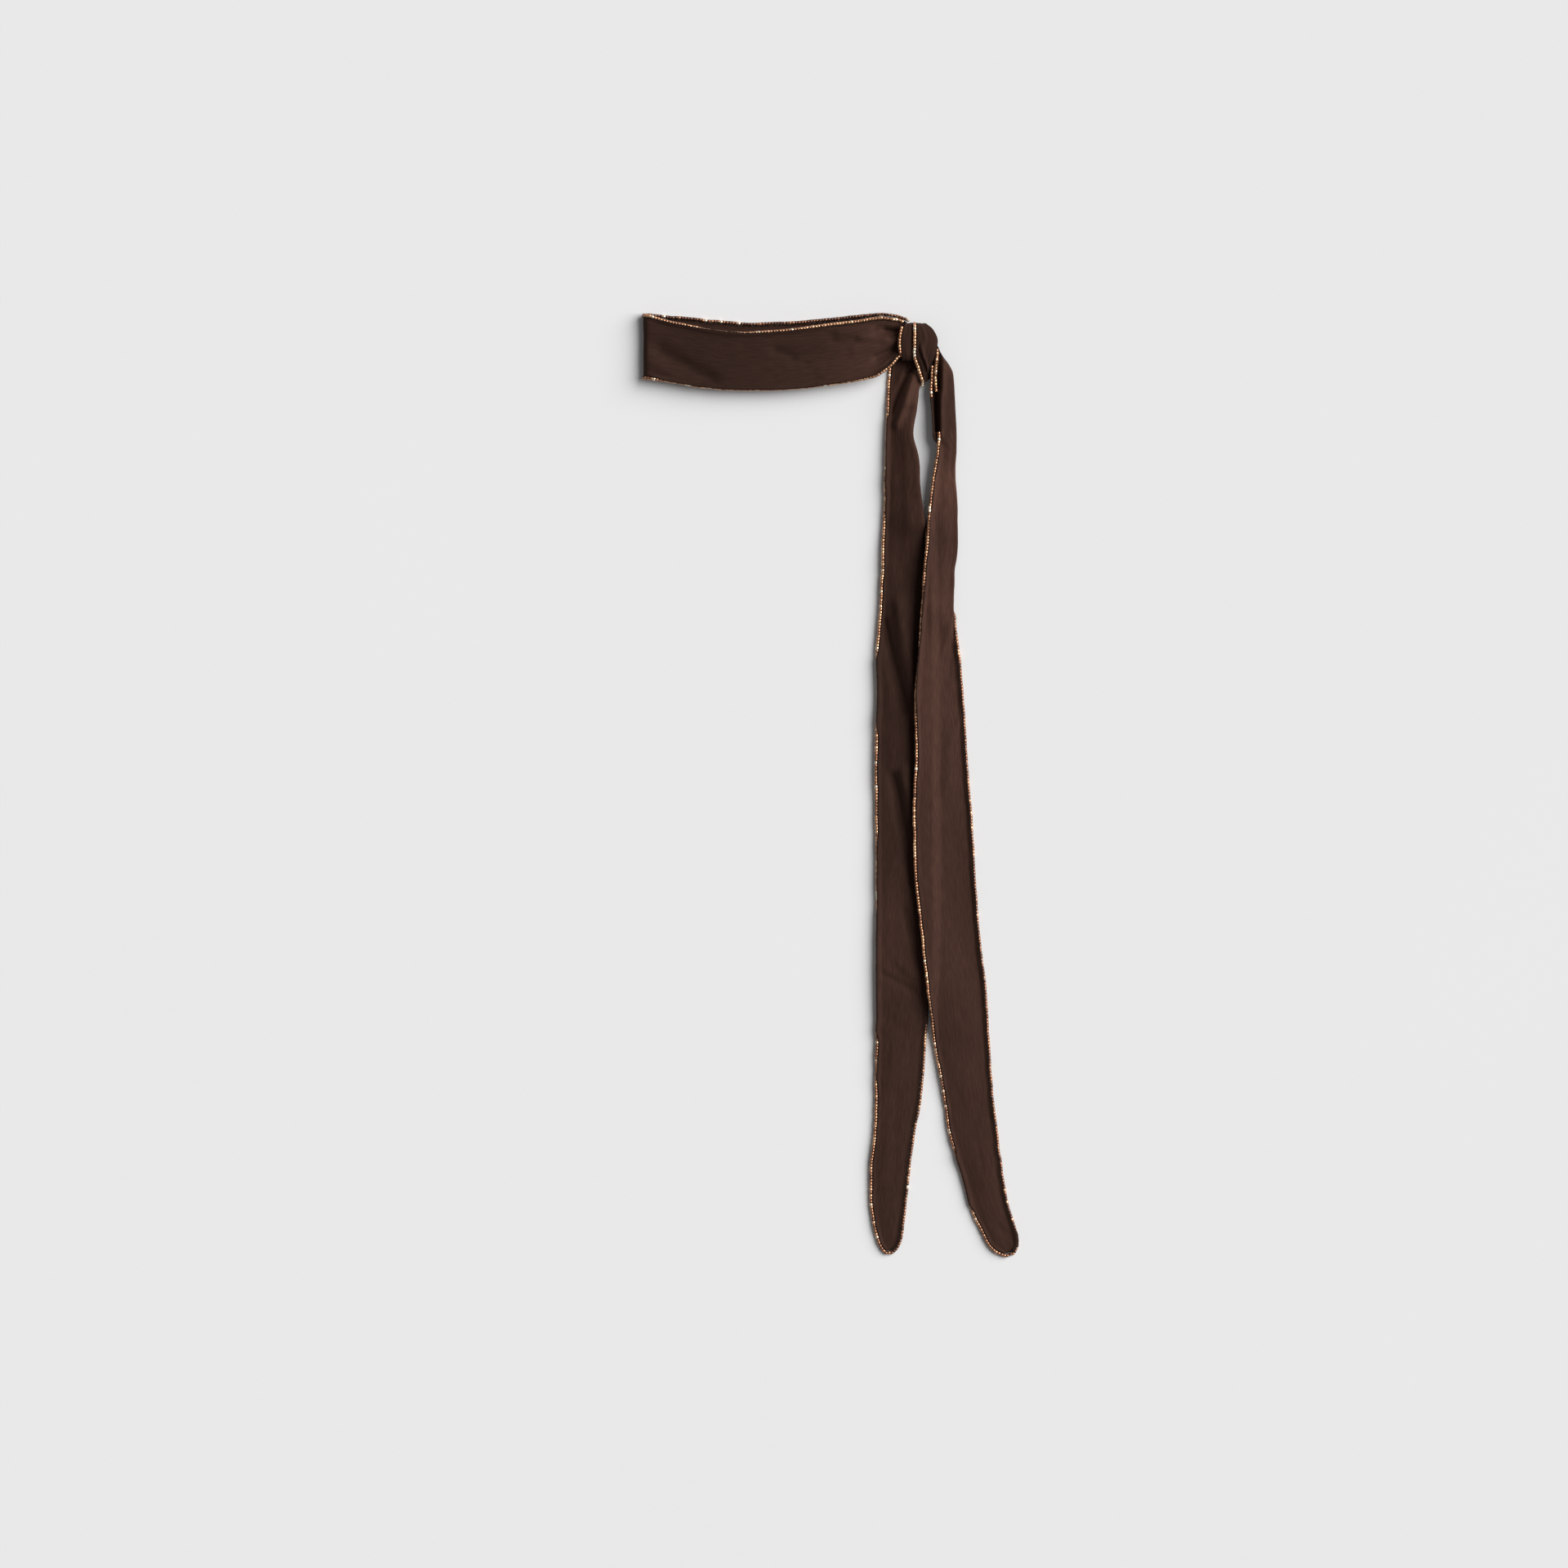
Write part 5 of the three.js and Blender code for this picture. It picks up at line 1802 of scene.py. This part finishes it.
@dataclass
class BeadRow:
    """A row of beads, threaded end to end along an edge.

    Each bead tilts and shifts a little, and its width and length vary by a factor.
    """

    name: str
    node: str
    lines: list[Array]
    tones: ToneMix
    seed: int
    tilt: float = 0.05
    shift: float = 0.05
    rise: float = 0.5
    widths: tuple[float, float] = (0.93, 1.01)
    lengths: tuple[float, float] = (0.95, 1.02)

    @staticmethod
    def places(line: Array) -> Pair:
        """Middle of each bead on a line, and the direction of the thread there.

        Args:
            line: Points of the line.

        Returns:
            One point and one direction for each bead.
        """
        length = path_length(line)[-1]
        count = max(2, int(length / BEAD_PITCH))
        middles = (np.arange(count) + 0.5) * (length / count)
        ahead, behind = (read_line(line, middles + away) for away in (LOOK_AHEAD, -LOOK_AHEAD))
        return read_line(line, middles), unit(ahead - behind)

    def tone(self, places: Array, along: Array, rng: np.random.Generator) -> Array:
        """Tone of each bead: it drifts along the row, differs from bead to bead, has painted glints and
        painted shade.

        Args:
            places: Middle of each bead.
            along: Direction of the thread there.
            rng: Where the chance comes from.

        Returns:
            Tones from 0 for dark copper to 1 for pale gold.
        """
        mix, count = self.tones, len(places)
        drift = mix.drift * Unevenness(self.seed, mix.drift_beads, 1.0).at(np.arange(count), np.zeros(count))
        tone = mix.middle + drift + rng.normal(0.0, mix.spread, count)
        # Painted glints: a share of the beads, chosen at random, is coloured pale
        tone = np.where(rng.uniform(size=count) < mix.painted_glint_share, mix.painted_glint_tone, np.clip(tone, *mix.usual))
        # Painted shade: the beads that lie low behind the neck loop's upper layer are coloured darker
        tone = tone - mix.back * smooth_step((mix.back_top[0] - places[:, 2]) / mix.back_top[1])
        tone = tone - mix.right_side * smooth_step(along[:, 1])
        tone = tone - mix.low * smooth_step((mix.low_top[0] - places[:, 1]) / mix.low_top[1])
        tone = np.maximum(tone, mix.darkest)
        # Painted glints: the bead nearest each listed place is coloured palest gold
        for x, y in PAINTED_GLINT_BEADS:
            away = np.hypot(places[:, 0] - x, places[:, 1] - y)
            if away.min() < mix.reach:
                tone[np.argmin(away)] = 1.0
        return tone

    def build(self, bead: RepeatedShape, finishes: tuple[Material, ...]) -> Object:
        """Thread the beads.

        Args:
            bead: The bead to copy.
            finishes: Materials of the beads and of their thread.

        Returns:
            The row as one object.
        """
        rng = np.random.default_rng(self.seed)
        places, along = (np.concatenate(part) for part in zip(*(self.places(line) for line in self.lines)))
        count = len(places)
        along = unit(along + rng.normal(0.0, self.tilt, (count, 3)))
        aside = unit(np.cross(along, rng.normal(0.0, 1.0, (count, 3))))
        over = np.cross(along, aside)
        width = rng.uniform(*self.widths, count)
        size = np.stack([width, width, rng.uniform(*self.lengths, count)], axis=1)
        turns = np.stack([aside, over, along], axis=2) * size[:, None]
        places = places + rng.normal(0.0, self.shift, (count, 3)) * np.array([1.0, 1.0, self.rise])
        row = bead.copies(self.name, places, turns)
        for finish in finishes:
            row.data.materials.append(finish)
        attribute = row.data.attributes.new("bead_tone", "FLOAT", "POINT")
        attribute.data.foreach_set("value", np.repeat(self.tone(places, along, rng), len(bead.points)))
        return row


@dataclass
class EdgeStitches:
    """The loops of thread that hold the beads to the hem, about one for every two beads."""

    name: str
    lines: list[Array]
    spacing: float = 4.2
    ahead: float = 0.5
    reach: float = 2.2

    def build(self, stitch: RepeatedShape, rim: Array, finish: Material) -> Object:
        """Set the stitches.

        Args:
            stitch: The loop to copy.
            rim: Points along the cloth's rim.
            finish: The thread's material.

        Returns:
            All stitches as one object.
        """
        places, turns = [], []
        for line in self.lines:
            at = np.arange(self.spacing / 2, path_length(line)[-1], self.spacing)
            bead = read_line(line, at)
            nearest = rim[np.argmin(np.linalg.norm(rim[None] - bead[:, None], axis=2), axis=1)]
            keep = np.linalg.norm(nearest - bead, axis=1) < self.reach
            along = unit(read_line(line, at + self.ahead) - bead)
            toward = square_to(along, nearest - bead)
            places.append((bead + (nearest - bead) / 2)[keep])
            turns.append(np.stack([toward, np.cross(along, toward), along], axis=2)[keep])
        stitches = stitch.copies(self.name, np.concatenate(places), np.concatenate(turns))
        stitches.data.materials.append(finish)
        return stitches


@dataclass
class Studio:
    """The pale floor, the lights and the camera above the scarf, in metres and degrees."""

    floor_side: float = 40.0
    camera_place: tuple[float, float, float] = (-0.03206, 0.00084, 6.0)
    view_width: float = 1.0752
    view_depth: float = 50.0
    sensor_mm: float = 36.0
    key_azimuth: float = 22.0
    key_elevation: float = 38.5
    key_spread: float = 53.0
    key_strength: float = 4.31
    key_distance: float = 3.0
    air_strength: float = 0.165

    def floor(self) -> None:
        """Lay the floor on which the scarf rests."""
        Workbench.clear()
        bpy.ops.mesh.primitive_plane_add(size=self.floor_side, location=(0.0, 0.0, 0.0))
        floor = Workbench.added("floor")
        floor.data.materials.append(FloorFinish().material())

    def key_light(self) -> None:
        """Add a broad far light from the upper right, which shines evenly over the whole floor."""
        turn, rise = math.radians(self.key_azimuth), math.radians(self.key_elevation)
        place = Vector((math.cos(turn) * math.cos(rise), math.sin(turn) * math.cos(rise), math.sin(rise)))
        Workbench.clear()
        bpy.ops.object.light_add(type="SUN", location=place * self.key_distance)
        light = bpy.context.object
        light.name = "key_light"
        light.data.energy = self.key_strength
        light.data.angle = math.radians(self.key_spread)
        light.rotation_euler = (-place).to_track_quat("-Z", "Y").to_euler()

    def air_light(self) -> None:
        """Add a weak white fill all round."""
        world = bpy.data.worlds.new("studio_air")
        world.use_nodes = True
        background = world.node_tree.nodes["Background"]
        background.inputs["Color"].default_value = (1.0, 1.0, 1.0, 1.0)
        background.inputs["Strength"].default_value = self.air_strength
        bpy.context.scene.world = world

    def camera(self) -> None:
        """Hold the camera straight above the scarf, looking down."""
        Workbench.clear()
        bpy.ops.object.camera_add(location=self.camera_place, rotation=(0.0, 0.0, 0.0))
        camera = bpy.context.object
        camera.name = "camera"
        camera.data.sensor_width = self.sensor_mm
        camera.data.lens = self.sensor_mm * self.camera_place[2] / self.view_width
        camera.data.clip_end = self.view_depth
        bpy.context.scene.camera = camera

    def build(self) -> None:
        """Set up the whole studio."""
        self.camera()
        self.floor()
        self.key_light()
        self.air_light()
        bpy.context.scene.view_settings.view_transform = "Standard"


@dataclass
class BeadedScarf:
    """The scarf: its cloth, hem, stitches and bead rows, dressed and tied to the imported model."""

    cloth: ScarfCloth
    laid_steps: int = 41
    laid_reach: float = 0.9
    even_points: int = 4
    first_seed: int = 40

    def laid_line(self, points: Rows) -> Array:
        """Middle line of a bead row that lies on top of the right tail.

        Args:
            points: Where the line passes, as x and y.

        Returns:
            Points of the line, at the height where its beads rest on the cloth.
        """
        flat = between(np.array(points), np.linspace(0.0, len(points) - 1.0, self.laid_steps))
        cloth = self.cloth.right_tail.grid().reshape(-1, 3)
        away = np.hypot(flat[:, None, 0] - cloth[None, :, 0], flat[:, None, 1] - cloth[None, :, 1])
        height = np.max(np.where(away < self.laid_reach, cloth[None, :, 2], 0.0), axis=1)
        window = np.ones(2 * self.even_points + 1) / (2 * self.even_points + 1)
        smooth = np.convolve(np.pad(height, self.even_points, mode="edge"), window, mode="valid")
        return np.concatenate([flat, (smooth + BEAD_RADIUS + BEAD_CLEARANCE)[:, None]], axis=1)

    def bead_rows(self) -> list[BeadRow]:
        """Every bead row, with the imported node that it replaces."""
        neck, wrap = self.cloth.neck, self.cloth.wrap
        outer_turn = np.concatenate([np.array(FOOT_BEADS), wrap.bead_line(*KNOT_OUTER_ROWS)])
        left_tail = self.cloth.left_tail.bead_line(*LEFT_TAIL_FIRST_ROWS)
        right_tail = self.cloth.right_tail.bead_line(*RIGHT_TAIL_FIRST_ROWS)
        right_tail = np.concatenate([np.array(HOLLOW_EDGE_BEADS), right_tail])
        on_tails = ToneMix(right_side=0.27, low=0.08)
        rows = (
            ("neck_top", ToneMix(middle=0.55, back=0.48), neck.bead_line(Edge.END)),
            ("neck_bottom", ToneMix(), neck.bead_line(Edge.START)),
            ("knot_inner", ToneMix(middle=0.60, painted_glint_share=0.08), wrap.bead_line(*KNOT_INNER_ROWS)),
            ("knot_outer", ToneMix(middle=0.60, painted_glint_share=0.14), outer_turn),
            ("left_tail", on_tails, left_tail),
            ("right_tail", on_tails, self.laid_line(TUCKED_EDGE_BEADS), right_tail),
            ("folded_edge", ToneMix(middle=0.57, painted_glint_share=0.12), self.laid_line(FOLDED_EDGE_BEADS)),
        )
        apply = self.cloth.settling.apply
        return [
            BeadRow(f"beads_{name}", f"bead_edging_{name}", [*map(apply, lines)], mix, seed)
            for seed, (name, mix, *lines) in enumerate(rows, self.first_seed)
        ]

    def build(self) -> None:
        """Build every piece in order and report it."""
        sheet = self.cloth.build(ChiffonFinish().material())
        hem_finish = HemFinish().material()
        hem = self.cloth.hem(sheet, hem_finish)
        rim = np.array([tuple(vertex.co) for vertex in hem.data.vertices]) / MM
        self.cloth.thicken(sheet)
        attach(sheet, "root")
        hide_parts("neck_loop", "knot_wrap", "left_tail", "right_tail")
        self.report(sheet)
        bead, thread = BeadFinish().material(), ThreadFinish().material()
        shape = CylinderBead().shape()
        rows = self.bead_rows()
        for row in rows:
            piece = row.build(shape, (bead, thread))
            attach(piece, "root")
            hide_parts(row.node)
            self.report(piece)
        edging = EdgeStitches("hem_stitches", [line for row in rows for line in row.lines])
        stitches = edging.build(HemStitch().shape(), rim, hem_finish)
        for piece in (hem, stitches):
            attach(piece, "root")
            self.report(piece)

    @staticmethod
    def report(piece: Object) -> None:
        """Log a finished piece with its size."""
        triangles = sum(len(face.vertices) - 2 for face in piece.data.polygons)
        log.info("%s: %d triangles", piece.name, triangles)


def main() -> None:
    """Build the studio and the scarf."""
    logging.basicConfig(level=logging.INFO, format="%(name)s %(message)s")
    Studio().build()
    neck = NeckLoop(
        SectionTable(NECK_COLUMNS, NECK_UPPER_ROWS),
        SectionTable(NECK_COLUMNS, NECK_LOWER_ROWS),
        Furrows(NECK_FURROWS),
        Furrows(NECK_CREASES),
        EdgeRoll(NECK_BOTTOM_ROLL, seed=51),
        EdgeRoll(NECK_TOP_ROLL, seed=52),
    )
    left = Tail(
        SectionTable(TAIL_COLUMNS, LEFT_TAIL_ROWS),
        Furrows(LEFT_TAIL_FURROWS),
        Furrows(LEFT_TAIL_CREASES),
        EdgeRoll(LEFT_TAIL_START_ROLL, seed=53),
        EdgeRoll(LEFT_TAIL_END_ROLL, seed=54),
        LEFT_TAIL_LIFTS,
    )
    right = Tail(
        SectionTable(TAIL_COLUMNS, RIGHT_TAIL_ROWS),
        Furrows(RIGHT_TAIL_FURROWS),
        Furrows(RIGHT_TAIL_CREASES),
        EdgeRoll(RIGHT_TAIL_START_ROLL, seed=55),
        EdgeRoll(RIGHT_TAIL_END_ROLL, seed=56),
        RIGHT_TAIL_LIFTS,
        over_left_tail=True,
    )
    wrap = KnotWrap(SectionTable(WRAP_COLUMNS, WRAP_ROWS))
    BeadedScarf(ScarfCloth(left, wrap, neck, right)).build()
    log.info("boxes written")


if __name__ == "__main__":
    main()
